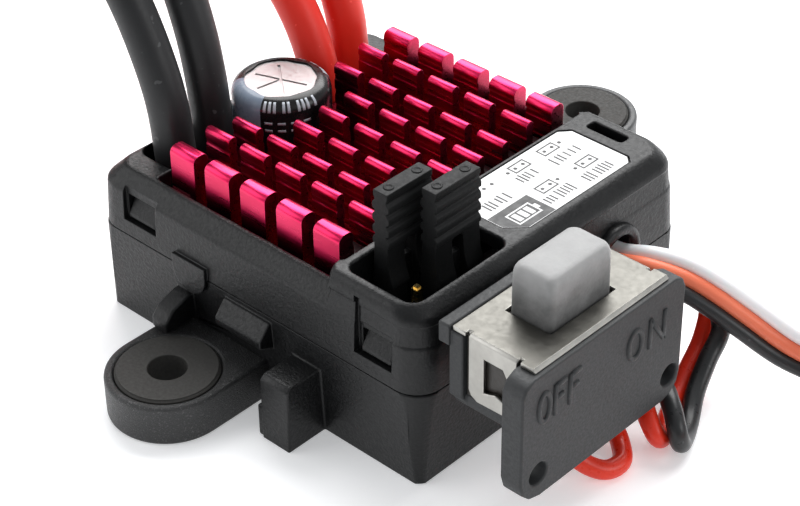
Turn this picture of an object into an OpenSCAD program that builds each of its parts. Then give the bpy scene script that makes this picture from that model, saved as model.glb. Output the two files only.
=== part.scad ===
/* [Case] */
// Length of the case along the fins
case_l = 36.5; // [36:0.1:38]
// Width of the case across the fins
case_w = 32; // [31.9:0.1:33]
// Height of the parting line above the base
part_z = 8.66; // [8.6:0.01:8.7]
// Top of the frame around the heat sink
frame_z = 14.2; // [14.1:0.05:14.4]
// Top of the raised label deck
deck_z = 16.2; // [16.1:0.05:16.3]

/* [Heat sink] */
// Pitch of the fin columns along the case
fin_px = 4.05; // [4:0.01:4.06]
// Pitch of the fin rows across the case
fin_py = 2.98; // [2.95:0.01:3]
// Length of one fin
fin_l = 2.8; // [2.4:0.1:3]
// Thickness of a thin fin
fin_t = 0.9; // [0.7:0.05:1.1]
// Thickness of an outer fin
fin_fat = 1.6; // [1.4:0.05:1.7]
// Top of the middle fins
fin_z = 16.7; // [16:0.1:18]

/* [Mounting ears] */
// Width of an ear
ear_w = 10.2; // [9.8:0.1:10.2]
// Thickness of an ear
ear_t = 3.7; // [3.6:0.1:3.7]
// Screw hole in a grommet
ear_hole = 3.2; // [3:0.1:3.4]
// Distance of the front hole from the case centre
ear_front_y = 21.7; // [21.6:0.1:22]
// Distance of the rear hole from the case centre
ear_rear_y = 30.2; // [29.8:0.1:30.2]

/* [Jumpers] */
// Pitch of the header pins
pin_p = 2.54; // [2.54:0.01:2.54]
// Top of the jumper handles
jump_z = 22.1; // [21:0.1:24]

/* [Switch] */
// Distance from the case centre to the front of the holder
sw_x = 28.6; // [28.2:0.1:29.2]
// Centre of the switch along its travel
sw_y = -7.1; // [-7.4:0.1:-6.8]
// Travel of the slider
sw_travel = 2.2; // [1.8:0.1:2.2]

/* [Wires] */
// Outside diameter of a power wire
wire_d = 3.5; // [3.2:0.1:3.7]
// Outside diameter of a switch lead
lead_d = 1.6; // [1.4:0.1:1.6]
// Width of the receiver lead
ribbon_w = 3.7; // [3.5:0.1:3.7]
// Thickness of the receiver lead
ribbon_t = 1.25; // [1.1:0.05:1.25]

/* [Hidden] */
$fn = 48;
hl = case_l / 2;
hw = case_w / 2;
fin_x0 = -3.33 - 2 * fin_px;   // -X face of the first column
ear_x = -3.7;                  // ears' centre line
cap = [-12.3, 0.1];            // capacitor axis
cap_r = 4.25;
pin_x = [10.6, 13.14];         // header columns
pin_y0 = -8.1;                 // middle pin of each column
j_t = 1.8;                     // jumper thickness
slide0 = -sw_travel / 2;       // slider position as drawn

// ---------- shared shapes ----------
module rrect(l, w, r, h) {
  linear_extrude(height = h) union() {
    square([l - 2 * r, w], center = true);
    square([l, w - 2 * r], center = true);
    for (x = [-1, 1], y = [-1, 1]) translate([x * (l / 2 - r), y * (w / 2 - r)]) circle(r = r);
  }
}
module box(a, b) { translate(a) cube(b - a); }
// profile in X-Z run along Y
module along_y(p, y0, y1) { translate([0, y1, 0]) rotate([90, 0, 0]) linear_extrude(height = y1 - y0) polygon(p); }
// profile in Y-Z run along X
module along_x(p, x0, x1) { translate([x0, 0, 0]) rotate([90, 0, 90]) linear_extrude(height = x1 - x0) polygon(p); }
module ycyl(r, c, y0, y1) { translate([c[0], y1, c[1]]) rotate([90, 0, 0]) cylinder(r = r, h = y1 - y0); }
module xcyl(r, c, x0, x1) { translate([x0, c[0], c[1]]) rotate([0, 90, 0]) cylinder(r = r, h = x1 - x0); }

// ---------- swept cord ----------
function unit(v) = v / norm(v);
function tang(p, i) = unit(p[min(i + 1, len(p) - 1)] - p[max(i - 1, 0)]);
function side(t, w) = unit(w - t * (w * t));
module cord(p, w, a, b, n = 8) {
  m = len(p);
  pts = [for (i = [0:m - 1]) let (t = tang(p, i), u = side(t, w[min(i, len(w) - 1)]), v = cross(t, u))
    for (k = [0:n - 1]) p[i] + u * (a * cos(360 * (k + 0.5) / n)) + v * (b * sin(360 * (k + 0.5) / n))];
  faces = concat([[for (k = [0:n - 1]) k]], [[for (k = [n - 1:-1:0]) (m - 1) * n + k]],
    [for (i = [0:m - 2], k = [0:n - 1]) let (k2 = (k + 1) % n) [i * n + k, (i + 1) * n + k, (i + 1) * n + k2]],
    [for (i = [0:m - 2], k = [0:n - 1]) let (k2 = (k + 1) % n) [i * n + k, (i + 1) * n + k2, i * n + k2]]);
  polyhedron(points = pts, faces = faces, convexity = 6);
}

// Routes, in millimetres
r_mb = [[-14.6, -9.9, 7.8], [-14.8, -9.9, 14], [-15.4, -9.9, 18.5], [-17, -9.8, 22.5], [-19.5, -9.8, 27], [-23.5, -9.7, 31.2], [-29, -9.6, 33.4], [-35.27, -9.5, 32], [-41.61, -9.5, 27.5], [-47.33, -9.5, 20.8], [-52.47, -9.5, 13.2], [-57.5, -9.5, 6.9], [-62, -9.6, 3.6], [-66, -10, 2.4], [-70, -11.1, 2.1], [-72.9, -14, 2.15], [-74, -17.8, 2.25], [-74, -20, 2.25]];
r_bb = [[-14.8, -5.5, 7.8], [-15, -5.5, 15], [-15.5, -5.45, 19], [-16.6, -5.3, 23], [-18.8, -5.1, 27.5], [-23, -4.9, 31.6], [-29, -4.7, 33.6], [-35.79, -4.6, 32], [-42.78, -4.5, 27], [-49.5, -4.5, 20], [-56.36, -4.5, 12.4], [-63.55, -4.5, 6.2], [-70.4, -4.6, 2.9], [-75, -5, 2], [-79, -6.1, 2.3], [-81.9, -9, 3.1], [-83, -12.8, 3.9], [-83, -15, 4]];
r_br = [[-14, 6.7, 7.8], [-14, 6.7, 11.5], [-15, 6.7, 16], [-17.2, 6.7, 20], [-21, 6.7, 23.6], [-26, 6.7, 26.2], [-33.3, 6.6, 26.8], [-42.78, 6.5, 24.2], [-53.56, 6.4, 18.6], [-64.12, 6.3, 12.4], [-72.97, 6, 6.6], [-79, 4.8, 2.9], [-84.6, 1.6, 1.8], [-88.2, -3.2, 2.2], [-89.7, -8.6, 3.2], [-89.7, -13, 4], [-89.7, -15, 4]];
r_mr = [[-14.6, 10.8, 7.8], [-14.8, 10.8, 14], [-15.3, 10.8, 18.2], [-17.2, 10.8, 22.5], [-20.4, 10.8, 26], [-25.5, 10.8, 28.8], [-32.13, 10.8, 29.4], [-42.04, 10.8, 27], [-53.56, 10.9, 20.6], [-64.12, 11, 12.4], [-72.97, 10.8, 5.6], [-79.6, 9.6, 2.4], [-86.6, 7, 1.8], [-92, 2.6, 1.8], [-95.2, -3, 1.9], [-96.3, -8, 2.25], [-96.4, -12, 2.25]];
r_rx = [[13.4, 6.9, 9.8], [18.2, 6.9, 9.8], [21, 7.5, 10.2], [23.8, 8.8, 9.7], [26.2, 10, 8.4], [28.6, 11.3, 6.6], [31.4, 12.9, 4.4], [35.2, 14.5, 2.9], [39.2, 14.4, 2.1], [42.6, 12.2, 1.95], [45.2, 7.4, 1.95]];
r_sr = [[16.3, 8, 8.25], [19, 8.1, 8.25], [21, 9.8, 8.3], [22.5, 12, 7.2], [23.9, 12.4, 5], [24.8, 10.7, 3.2], [25.7, 7.5, 1.9], [26.6, 4.7, 1], [27.6, 2.4, 0.8], [28.5, 0.7, 0.9], [28.7, -0.35, 1.9], [27.7, -0.15, 2.9], [26.3, 0.7, 3.6], [24.9, 0.5, 4.3], [24.3, -0.8, 3.9], [25, -1.4, 2.2], [26.4, -1.9, 1], [27.9, -3.6, 0.8], [27.6, -5.2, 0.85], [26.2, -6.5, 1.8], [24.6, -7, 3.8], [23.8, -7.1, 6.6], [23.8, -7.1, 7.75]];
r_sb = [[16.3, 6.2, 8.25], [19.2, 6.3, 8.25], [22.2, 8.4, 8.1], [24.8, 11.4, 6.6], [26.2, 11.1, 4.6], [26.9, 8.5, 3.1], [27.7, 6, 1.8], [28.8, 3.9, 0.9], [29.7, 2.1, 0.85], [30.3, 0.7, 1.4], [30, 0.5, 2.7], [28.8, 1.35, 3.65], [26.7, 2.6, 4.3], [24.7, 1.6, 5.7], [24, -1.6, 5.9], [23.8, -3.9, 6.5], [23.8, -4.15, 7.75]];
w_rx = [[0, 1, 0.1], [0, 1, 0.15], [0, 0.95, 0.3], [0.1, 0.85, 0.5], [0.1, 0.78, 0.6], [0.1, 0.72, 0.7], [0.1, 0.5, 0.85], [0, 0.2, 1], [0, 0, 1]];
wy = [[0, 1, 0]];

// ---------- lower case ----------
module hook(x0, x1) {
  box([x0, -hw + 1.3, part_z - 1.6], [x1, -hw + 2.1, 12.3]);
  along_x([[-hw + 1.4, 10.3], [-hw + 0.35, 10.3], [-hw + 0.35, 10.7], [-hw + 1.3, 12.3], [-hw + 1.4, 12.3]], x0, x1);
}
module ear_pocket_solid() {
  box([-10.1, -hw + 0.5, 0], [2.7, -2.4, 4.75]);
}
module ear_pocket_cut() {
  box([ear_x - ear_w / 2 - 0.1, -hw - 4, 0.85], [ear_x + ear_w / 2 + 0.1, -2.9, 3.8]);
}
module ear_guides() {
  box([4.7, -hw - 3.5, 0], [7.7, -hw + 0.6, 5.9]);
  along_x([[-hw - 3.5, 5.9], [-hw - 3.1, 6.3], [-hw + 0.6, 6.3], [-hw + 0.6, 5.9]], 4.7, 7.7);
  box([4.1, -hw - 3.4, 0], [4.7, -hw + 0.6, 3]);
  along_x([[-hw - 3, 4], [-hw - 3, 5], [-hw - 2.2, 5.9], [-hw - 0.4, 6.5], [-hw + 0.6, 6.5], [-hw + 0.6, 4]], -8.5, -6.7);
  along_x([[-hw + 0.6, 5.4], [-hw - 1.3, 6.2], [-hw - 1.3, 6.9], [-hw - 0.2, 8.2], [-hw + 0.6, 8.2]], -2.7, 2.5);
}
module lower_case() color([0.23, 0.24, 0.24]) difference() {
  union() {
    difference() {
      intersection() {
        along_y([[-hl + 0.4, 0], [hl - 0.35, 0], [hl, part_z], [-hl, part_z]], -hw - 1, hw + 1);
        along_x([[-hw + 0.45, 0], [hw - 0.45, 0], [hw, part_z], [-hw, part_z]], -hl - 1, hl + 1);
        rrect(case_l, case_w, 2.2, part_z);
      }
      translate([0, 0, 1.2]) rrect(case_l - 2.7, case_w - 2.8, 1.2, part_z);
    }
    // lip that enters the cover
    difference() {
      translate([0, 0, part_z - 1.5]) rrect(case_l - 2.5, case_w - 2.6, 1.2, 2.2);
      translate([0, 0, part_z - 3]) rrect(case_l - 3.7, case_w - 3.8, 1, 6);
    }
    for (s = [0, 1]) mirror([0, s, 0]) {
      hook(-14.4, -11.1);
      hook(12, 15.1);
      ear_pocket_solid();
      ear_guides();
    }
    for (x = [-14.6, 14.6], y = [-11.9, 11.9]) translate([x, y, 0.6]) cylinder(r = 1.4, h = 5.6);
    for (x = [9.5]) translate([x, 0, 0.6]) cylinder(r = 1.4, h = 5.6);
  }
  for (s = [0, 1]) mirror([0, s, 0]) ear_pocket_cut();
  // lead notch
  box([hl - 2.2, 4.9, 7.35], [hl + 1, 9, 12]);
}

// ---------- upper case ----------
module upper_blank() {
  intersection() {
    along_y([[-hl, part_z], [hl, part_z], [hl - 0.2, 12.9], [hl - 1.4, frame_z], [-hl + 1.45, frame_z], [-hl + 0.2, 12.9]], -hw - 1, hw + 1);
    along_x([[-hw, part_z], [hw, part_z], [hw - 0.2, 12.8], [hw - 1.6, frame_z], [-hw + 1.6, frame_z], [-hw + 0.2, 12.8]], -hl - 1, hl + 1);
    rrect(case_l, case_w, 2.4, 20);
  }
  intersection() {
    along_y([[8.5, part_z], [hl, part_z], [hl - 0.4, 15.2], [hl - 1.5, deck_z], [8.5, deck_z]], -hw - 1, hw + 1);
    along_x([[-hw, part_z], [hw, part_z], [hw - 0.35, 15], [hw - 1.2, deck_z], [-hw + 0.75, deck_z], [-hw + 0.4, 15.8]], -hl - 1, hl + 1);
    rrect(case_l, case_w, 2.6, 20);
  }
}
label_pts = [[9.1, 0.3], [9.1, 10.6], [9.9, 11.5], [15.6, 11.5], [16.2, 10.9], [16.2, -1.2], [14.7, -2.7], [12, -2.7]];
module upper_case() color([0.25, 0.26, 0.26]) {
  difference() {
    union() {
      difference() {
        upper_blank();
        // room for the board and the heat-sink base
        translate([0, 0, part_z - 1]) rrect(case_l - 2.4, case_w - 2.5, 1.25, 12.9 - part_z + 1);
        box([9.5, -hw + 1.6, 12], [hl - 1.6, hw - 1.6, 15]);
        // heat-sink window and cable opening
        box([-12.4, -14, 12], [8.5, 14, 20]);
        box([-hl + 1.6, -12.3, 12], [-12, 12.7, 20]);
      }
      // ribs between the last column of fins
      for (k = [-3.5, -2.5, -1.5, -0.5, 0.5, 1.5, 2.5, 3.5])
        box([5.1, k * fin_py - 0.75, 13], [8.6, k * fin_py + 0.75, frame_z]);
      // boss around the lead
      intersection() {
        xcyl(2.9, [7, 10], hl - 0.8, hl + 0.55);
        box([hl - 1, 0, part_z], [hl + 1, 12, 20]);
      }
      // curved tabs over the parting line
      for (s = [0, 1]) mirror([0, s, 0]) intersection() {
        box([-8.4, -hw - 0.35, 6.9], [-4.9, -hw + 0.3, part_z + 1.2]);
        union() {
          ycyl(1.9, [-6.65, 8.75], -hw - 0.35, -hw - 0.02);
          box([-8.55, -hw - 0.35, part_z], [-4.75, -hw + 0.3, part_z + 1.2]);
        }
      }
    }
    // jumper well
    translate([12.9, -9.2, 12]) rrect(7, 10.6, 0.9, 8);
    // snap windows
    for (s = [0, 1]) mirror([0, s, 0]) {
      box([-14.7, -hw - 1, 10.1], [-10.8, -hw + 0.55, 13.6]);
      box([-14.5, -hw - 1, 10.1], [-11, -hw + 1.9, 12.5]);
      box([11.8, -hw - 1, 10.1], [15.4, -hw + 0.55, 13.2]);
      box([11.9, -hw - 1, 10.1], [15.2, -hw + 1.9, 12.5]);
    }
    // groove beside the right window
    box([11.5, -hw - 1, 10.1], [12.1, -hw + 0.7, 15.6]);
    // slot in the deck
    translate([12.15, 13.3, 14]) rrect(3.7, 1.1, 0.3, 4);
    // label pocket
    translate([0, 0, deck_z - 0.22]) linear_extrude(height = 2) polygon([for (p = label_pts) [p[0] + (p[0] > 12.5 ? 0.12 : -0.12), p[1] + (p[1] > 4 ? 0.12 : -0.12)]]);
    // lead exit
    box([hl - 2.2, 4.9, 7], [hl + 1, 9, 11.6]);
  }
}

// ---------- heat sink ----------
module fin(t, z) {
  r = t * 0.45;
  along_x([[-t / 2, 11.4], [t / 2, 11.4], [t / 2, z - r], [t / 2 - 0.3 * r, z - 0.3 * r], [t / 2 - r, z], [-t / 2 + r, z], [-t / 2 + 0.3 * r, z - 0.3 * r], [-t / 2, z - r]], 0, fin_l);
}
module heat_sink() color([0.8, 0.05, 0.22]) {
  difference() {
    box([-12.2, -13.9, 10.6], [8.4, 13.9, 12.2]);
    translate([cap[0], cap[1], 10]) cylinder(r = cap_r + 0.2, h = 3, $fn = 64);
  }
  for (c = [0:4], j = [-4:4]) if (!(c == 0 && abs(j) <= 1))
    translate([fin_x0 + c * fin_px, abs(j) == 4 ? sign(j) * 12.45 : j * fin_py, 0])
      fin(abs(j) == 4 ? fin_fat : fin_t, abs(j) >= 3 ? fin_z + 0.55 : fin_z);
}
module thermal_pad() color([0.55, 0.6, 0.65]) box([-7.4, -11.5, 10.1], [7.6, 11.5, 10.6]);

// ---------- electronics ----------
module circuit_board() color([0.05, 0.3, 0.16]) difference() {
  translate([0, 0, 6.2]) rrect(32.6, 27.4, 0.8, 1.6);
  for (x = pin_x, k = [-1:1]) translate([x, pin_y0 + k * pin_p, 5]) cylinder(r = 0.5, h = 4);
  for (y = [-1.9, 1.9]) translate([cap[0], cap[1] + y, 5]) cylinder(r = 0.4, h = 4);
}
module power_transistors() color([0.12, 0.12, 0.13])
  for (x = [-6.6, -0.6, 5.4], y = [-7.6, 0, 7.6]) if (!(x > 5 && y < 0) && !(x < -6 && y == 0)) translate([x - 1.6, y, 0]) {
    box([-2.3, -3.2, 7.9], [2.3, 3.2, 10.1]);
    box([-3, -2.4, 7.8], [-2.3, -1.6, 8.4]);
    box([-3, 1.6, 7.8], [-2.3, 2.4, 8.4]);
    box([2.3, -2.6, 7.8], [2.9, 2.6, 8.4]);
  }
module control_chips() color([0.1, 0.1, 0.11]) {
  box([9.2, 0.6, 7.8], [13.4, 4.8, 8.9]);
  box([9.6, 10, 7.8], [12.8, 13, 9.2]);
  box([14.2, 1.2, 7.8], [15.6, 3.4, 8.6]);
  box([5.6, -12.6, 7.8], [8.4, -10, 8.8]);
}
module capacitor_can() color([0.82, 0.83, 0.84]) difference() {
  translate([cap[0], cap[1], 0]) rotate_extrude($fn = 64)
    polygon([[0, 8.9], [3.6, 8.9], [3.9, 9.2], [3.9, 16.5], [3.75, 16.95], [3.4, 17.2], [0, 17.2]]);
  for (a = [0, 60, 120]) translate([cap[0], cap[1], 17.05]) rotate([0, 0, a + 20]) translate([-2.4, -0.12, 0]) cube([a == 60 ? 2.4 : 4.8, 0.24, 1]);
}
module capacitor_sleeve() color([0.07, 0.07, 0.08]) translate([cap[0], cap[1], 0]) rotate_extrude($fn = 64)
  polygon([[3.95, 9.5], [cap_r, 9.5], [cap_r, 16.5], [4.05, 17], [3.65, 17.3], [3.2, 17.36], [3.2, 17.26], [3.6, 17.1], [3.88, 16.9], [3.95, 16.5]]);
module capacitor_bung() color([0.1, 0.1, 0.1]) difference() {
  translate([cap[0], cap[1], 8]) cylinder(r = 3.6, h = 0.9);
  for (y = [-1.9, 1.9]) translate([cap[0], cap[1] + y, 7]) cylinder(r = 0.32, h = 3);
}
module capacitor_leads() color([0.75, 0.75, 0.76]) for (y = [-1.9, 1.9])
  translate([cap[0], cap[1] + y, 5.4]) cylinder(r = 0.3, h = 3.5);
module pin_header_base() color([0.05, 0.05, 0.05]) difference() {
  box([pin_x[0] - 1.27, pin_y0 - 3.81, 7.8], [pin_x[1] + 1.27, pin_y0 + 3.81, 10.3]);
  for (x = pin_x, k = [-1:1]) box([x - 0.34, pin_y0 + k * pin_p - 0.34, 7], [x + 0.34, pin_y0 + k * pin_p + 0.34, 11]);
}
module header_pins() color([0.83, 0.66, 0.25]) for (x = pin_x, k = [-1:1])
  translate([x, pin_y0 + k * pin_p, 0]) { box([-0.32, -0.32, 5.2], [0.32, 0.32, 14]); box([-0.2, -0.2, 14], [0.2, 0.2, 14.2]); }
module label() color([0.95, 0.95, 0.94]) translate([0, 0, deck_z - 0.22]) linear_extrude(height = 0.16) polygon(label_pts);

// ---------- ears ----------
module ear(y) {
  difference() {
    union() {
      translate([ear_x, y, 0]) cylinder(r = ear_w / 2, h = ear_t, $fn = 96);
      box([ear_x - ear_w / 2, y, 0], [ear_x + ear_w / 2, y + 5.6, ear_t]);
      box([ear_x - ear_w / 2, y + 5.6, 0.95], [ear_x + ear_w / 2, y + 17.8, ear_t]);
    }
    translate([ear_x, y, -1]) cylinder(r = 4.3, h = 6, $fn = 64);
  }
}
module grommet(y) difference() {
  union() {
    translate([ear_x, y, 0]) cylinder(r = 4.28, h = ear_t, $fn = 64);
    translate([ear_x, y, ear_t - 0.1]) cylinder(r = 4.1, h = 0.25, $fn = 64);
  }
  translate([ear_x, y, -1]) cylinder(r = ear_hole / 2, h = 7, $fn = 48);
}
module front_ear() color([0.13, 0.13, 0.13]) ear(-ear_front_y);
module rear_ear() color([0.2, 0.2, 0.2]) mirror([0, 1, 0]) ear(-ear_rear_y);
module front_grommet() color([0.27, 0.26, 0.24]) grommet(-ear_front_y);
module rear_grommet() color([0.27, 0.26, 0.24]) grommet(ear_rear_y);

// ---------- jumpers ----------
module jumper(x, y) translate([x, y, 0]) difference() {
  union() {
    box([-j_t / 2, -2.5, 10.4], [j_t / 2, 2.5, 17.2]);
    box([-j_t / 2 + 0.25, -2.5, 17.2], [j_t / 2 - 0.25, 2.5, jump_z]);
    for (z = [17.5 : 1.1 : jump_z - 0.8]) box([-j_t / 2, -2.5, z], [j_t / 2, 2.5, z + 0.6]);
    box([-j_t / 2, -2.5, jump_z - 0.6], [j_t / 2, 2.5, jump_z]);
  }
  // sockets for the pins and the clip
  for (k = [-0.5, 0.5]) box([-0.55, k * pin_p - 0.62, 10], [0.55, k * pin_p + 0.62, 15.4]);
  box([-0.3, -1.2, 14.9], [0.3, 1.2, 15.4]);
  // gap between the legs
  box([-2, -0.45, 10], [2, 0.45, 13.6]);
  for (k = [-1, 1]) translate([0, k * 1.5, jump_z - 0.25]) cylinder(r = 0.35, h = 1, $fn = 24);
}
module jumper_clip(x, y) translate([x, y, 0]) {
  for (k = [-0.5, 0.5]) {
    for (s = [-1, 1]) box([-0.45, k * pin_p + (s > 0 ? 0.4 : -0.55), 10.8], [0.45, k * pin_p + (s > 0 ? 0.55 : -0.4), 14.9]);
  }
  for (k = [-0.5, 0.5]) box([-0.25, k * pin_p - 0.55, 14.9], [0.25, k * pin_p + 0.55, 15.1]);
  box([-0.25, -0.72, 14.95], [0.25, 0.72, 15.1]);
}
j1 = [pin_x[0], pin_y0 - pin_p / 2];
j2 = [pin_x[1], pin_y0 + pin_p / 2];
module mode_jumper() color([0.08, 0.08, 0.08]) jumper(j1[0], j1[1]);
module mode_jumper_clip() color([0.75, 0.7, 0.5]) jumper_clip(j1[0], j1[1]);
module battery_jumper() color([0.08, 0.08, 0.08]) jumper(j2[0], j2[1]);
module battery_jumper_clip() color([0.75, 0.7, 0.5]) jumper_clip(j2[0], j2[1]);

// ---------- switch ----------
module switch_holder() color([0.27, 0.28, 0.29]) difference() {
  union() {
    // front plate
    along_x([[sw_y - 7.2, 4.8], [sw_y + 7.4, 4.8], [sw_y + 8.4, 5.1], [sw_y + 9.1, 5.8], [sw_y + 9.35, 6.9], [sw_y + 9.35, 14.9],
      [sw_y + 9, 15.7], [sw_y + 8.2, 16.1],
      [sw_y - 8.2, 16.1], [sw_y - 9, 15.7], [sw_y - 9.4, 14.9], [sw_y - 9.4, 7], [sw_y - 9.1, 5.9], [sw_y - 8.3, 5.1]], sw_x - 2, sw_x);
    // rear plate
    along_x([[sw_y - 6.9, 9.3], [sw_y + 7.8, 9.3], [sw_y + 7.8, 16], [sw_y - 7.65, 16], [sw_y - 7.65, 10.1]], sw_x - 8.5, sw_x - 7.2);
    // rim along the rear plate
    box([sw_x - 9.4, sw_y - 7.9, 14.7], [sw_x - 8.3, sw_y + 8.1, 16.5]);
    // floor of the holder
    box([sw_x - 8.3, sw_y - 7.2, 9.3], [sw_x - 1.5, sw_y + 7.8, 10.5]);
  }
  for (y = [sw_y - 7.4, sw_y + 8]) xcyl(0.95, [y, 7.05], sw_x - 3, sw_x + 1);
  box([sw_x - 6.8, sw_y - 4.6, 8], [sw_x - 2.7, sw_y + 4.6, 11]);
}
fx0 = sw_x - 8.2;
fx1 = sw_x - 0.4;
module switch_frame() color([0.74, 0.73, 0.69]) {
  difference() {
    box([fx0, sw_y - 7.65, 16.1], [fx1, sw_y + 7.65, 16.5]);
    box([sw_x - 6.6, sw_y - 3.7, 15.5], [sw_x - 2.3, sw_y + 3.7, 17]);
    // rounded front fold
    along_y([[fx1 - 0.24, 16.6], [fx1 - 0.24, 16.5], [fx1, 16.26], [fx1 + 0.1, 16.26], [fx1 + 0.1, 16.6]], sw_y - 8, sw_y + 8);
    for (s = [0, 1]) translate([0, sw_y, 0]) mirror([0, s, 0]) {
      // relief notches and rounded fold of each end clip
      for (x = [fx0 + 1.25, fx0 + 6.1]) box([x, -8, 16], [x + 0.3, -7.2, 17]);
      along_x([[-8, 16.26], [-7.65, 16.26], [-7.41, 16.5], [-7.41, 16.6], [-8, 16.6]], fx0 + 1.5, fx0 + 6.15);
    }
  }
  for (s = [0, 1]) translate([0, sw_y, 0]) mirror([0, s, 0])
    along_y([[fx0 + 1.55, 16.1], [fx0 + 1.55, 11.5], [fx0 + 1.8, 11], [fx0 + 2.4, 10.65], [fx0 + 4.95, 10.75], [fx0 + 4.95, 11.9], [fx0 + 4.1, 12.2], [fx0 + 3.6, 12], [fx0 + 3, 11.8], [fx0 + 3, 14.9], [fx0 + 4.8, 14.9], [fx0 + 5.3, 14], [fx0 + 6.1, 15.4], [fx0 + 6.1, 16.1]], -7.65, -7.3);
}
module switch_base() color([0.1, 0.09, 0.09]) difference() {
  box([sw_x - 7.1, sw_y - 7.2, 10.5], [sw_x - 2.05, sw_y + 7.2, 16.05]);
  box([sw_x - 6.05, sw_y - 4.2, 12.6], [sw_x - 2.85, sw_y + 4.2, 17]);
  for (k = [-1, 0, 1]) box([sw_x - 5.2, sw_y + k * 2.95 - 0.8, 10], [sw_x - 4.4, sw_y + k * 2.95 + 0.8, 12.2]);
}
module switch_terminals() color([0.78, 0.77, 0.73]) for (k = [-1, 0, 1])
  box([sw_x - 5.1, sw_y + k * 2.95 - 0.65, 7.8], [sw_x - 4.5, sw_y + k * 2.95 + 0.65, 12.1]);
module switch_slider() color([0.08, 0.08, 0.08]) translate([0, sw_y + slide0, 0]) {
  box([sw_x - 5.75, -2.4, 13], [sw_x - 3.15, 2.4, 15.6]);
  box([sw_x - 5.25, -1.3, 15.6], [sw_x - 3.65, 1.3, 19.7]);
}
module switch_boot() color([0.62, 0.62, 0.6]) difference() {
  union() {
    translate([sw_x - 4.45, sw_y, 16.05]) rrect(3.95, 7.1, 0.6, 4.2);
    translate([sw_x - 4.45, sw_y, 20.25]) rrect(3.4, 6.5, 0.9, 0.55);
  }
  box([sw_x - 5.85, sw_y - 2.8, 15], [sw_x - 3.05, sw_y + 2.8, 20]);
}

// ---------- cords ----------
module motor_wire_black() color([0.06, 0.06, 0.06]) cord(r_mb, wy, wire_d / 2, wire_d / 2);
module battery_wire_black() color([0.06, 0.06, 0.06]) cord(r_bb, wy, wire_d / 2, wire_d / 2);
module battery_wire_red() color([0.75, 0.1, 0.1]) cord(r_br, wy, wire_d / 2, wire_d / 2);
module motor_wire_red() color([0.75, 0.1, 0.1]) cord(r_mr, wy, wire_d / 2, wire_d / 2);
module receiver_lead() color([0.9, 0.9, 0.9]) cord(r_rx, w_rx, ribbon_w / 2, ribbon_t / 2);
module switch_lead_red() color([0.75, 0.1, 0.1]) cord(r_sr, [[0.62, -0.62, 0.5]], lead_d / 2, lead_d / 2);
module switch_lead_black() color([0.06, 0.06, 0.06]) cord(r_sb, [[0.62, -0.62, 0.5]], lead_d / 2, lead_d / 2);
module receiver_hank() color([0.85, 0.85, 0.85]) translate([0, 0, 0.05]) linear_extrude(height = ribbon_w + 0.1) union() {
  translate([45, -13.8]) square([8.4, 45.6]);
  translate([49.2, -13.8]) circle(r = 4.2);
  translate([49.2, 31.8]) circle(r = 4.2);
}
// two-pole battery plug, soldered to the battery wires
module battery_plug() color([0.75, 0.12, 0.1]) difference() {
  union() {
    box([-92.6, -28, 0.1], [-80.1, -18.5, 7.9]);
    box([-91.6, -34.5, 1], [-81.1, -28, 7]);
  }
  for (x = [-89.7, -83]) box([x - 1.6, -35, 3.1], [x + 1.6, -18, 4.9]);
}
module battery_plug_contacts() color([0.85, 0.7, 0.3]) for (x = [-89.7, -83])
  box([x - 1.5, -33.8, 3.2], [x + 1.5, -15.05, 4.8]);
module bullet(x, y) translate([x, y, 2.25]) rotate([90, 0, 0]) rotate_extrude($fn = 48)
  polygon([[0, 0], [1.9, 0], [1.9, 6], [1.5, 6.4], [1.5, 6.9], [1.75, 7.6], [1.75, 11.6], [1.2, 13.2], [0.6, 13.4], [0, 13.4]]);
module sleeve(x, y) difference() {
  translate([x, y + 3, 2.25]) rotate([90, 0, 0]) cylinder(r = 2.25, h = 10);
  translate([x, y + 4, 2.25]) rotate([90, 0, 0]) cylinder(r = 1.93, h = 12);
}
module motor_bullet_black() color([0.85, 0.7, 0.3]) bullet(-74, -20);
module motor_bullet_red() color([0.85, 0.7, 0.3]) bullet(-96.4, -12);
module motor_sleeve_black() color([0.07, 0.07, 0.07]) sleeve(-74, -20);
module motor_sleeve_red() color([0.07, 0.07, 0.07]) sleeve(-96.4, -12);
// three-pole receiver plug
module receiver_plug() color([0.07, 0.07, 0.07]) difference() {
  box([47.9, -32, 0.05], [50.5, -18, 7.75]);
  for (k = [-1:1]) box([48.7, -33, 3.9 + k * pin_p - 0.55], [49.7, -17, 3.9 + k * pin_p + 0.55]);
}
module receiver_plug_contacts() color([0.83, 0.66, 0.25]) for (k = [-1:1])
  box([48.8, -30.4, 3.9 + k * pin_p - 0.45], [49.6, -18.8, 3.9 + k * pin_p + 0.45]);

lower_case();
upper_case();
heat_sink();
thermal_pad();
circuit_board();
power_transistors();
control_chips();
capacitor_can();
capacitor_sleeve();
capacitor_bung();
capacitor_leads();
pin_header_base();
header_pins();
label();
front_ear();
rear_ear();
front_grommet();
rear_grommet();
mode_jumper();
mode_jumper_clip();
battery_jumper();
battery_jumper_clip();
switch_holder();
switch_frame();
switch_base();
switch_terminals();
switch_slider();
switch_boot();
battery_wire_black();
motor_wire_black();
motor_wire_red();
battery_wire_red();
battery_plug();
battery_plug_contacts();
motor_bullet_black();
motor_bullet_red();
motor_sleeve_black();
motor_sleeve_red();
receiver_lead();
receiver_hank();
receiver_plug();
receiver_plug_contacts();
switch_lead_red();
switch_lead_black();
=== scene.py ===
import bpy, bmesh, math, random
from mathutils import Vector, Matrix


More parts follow.
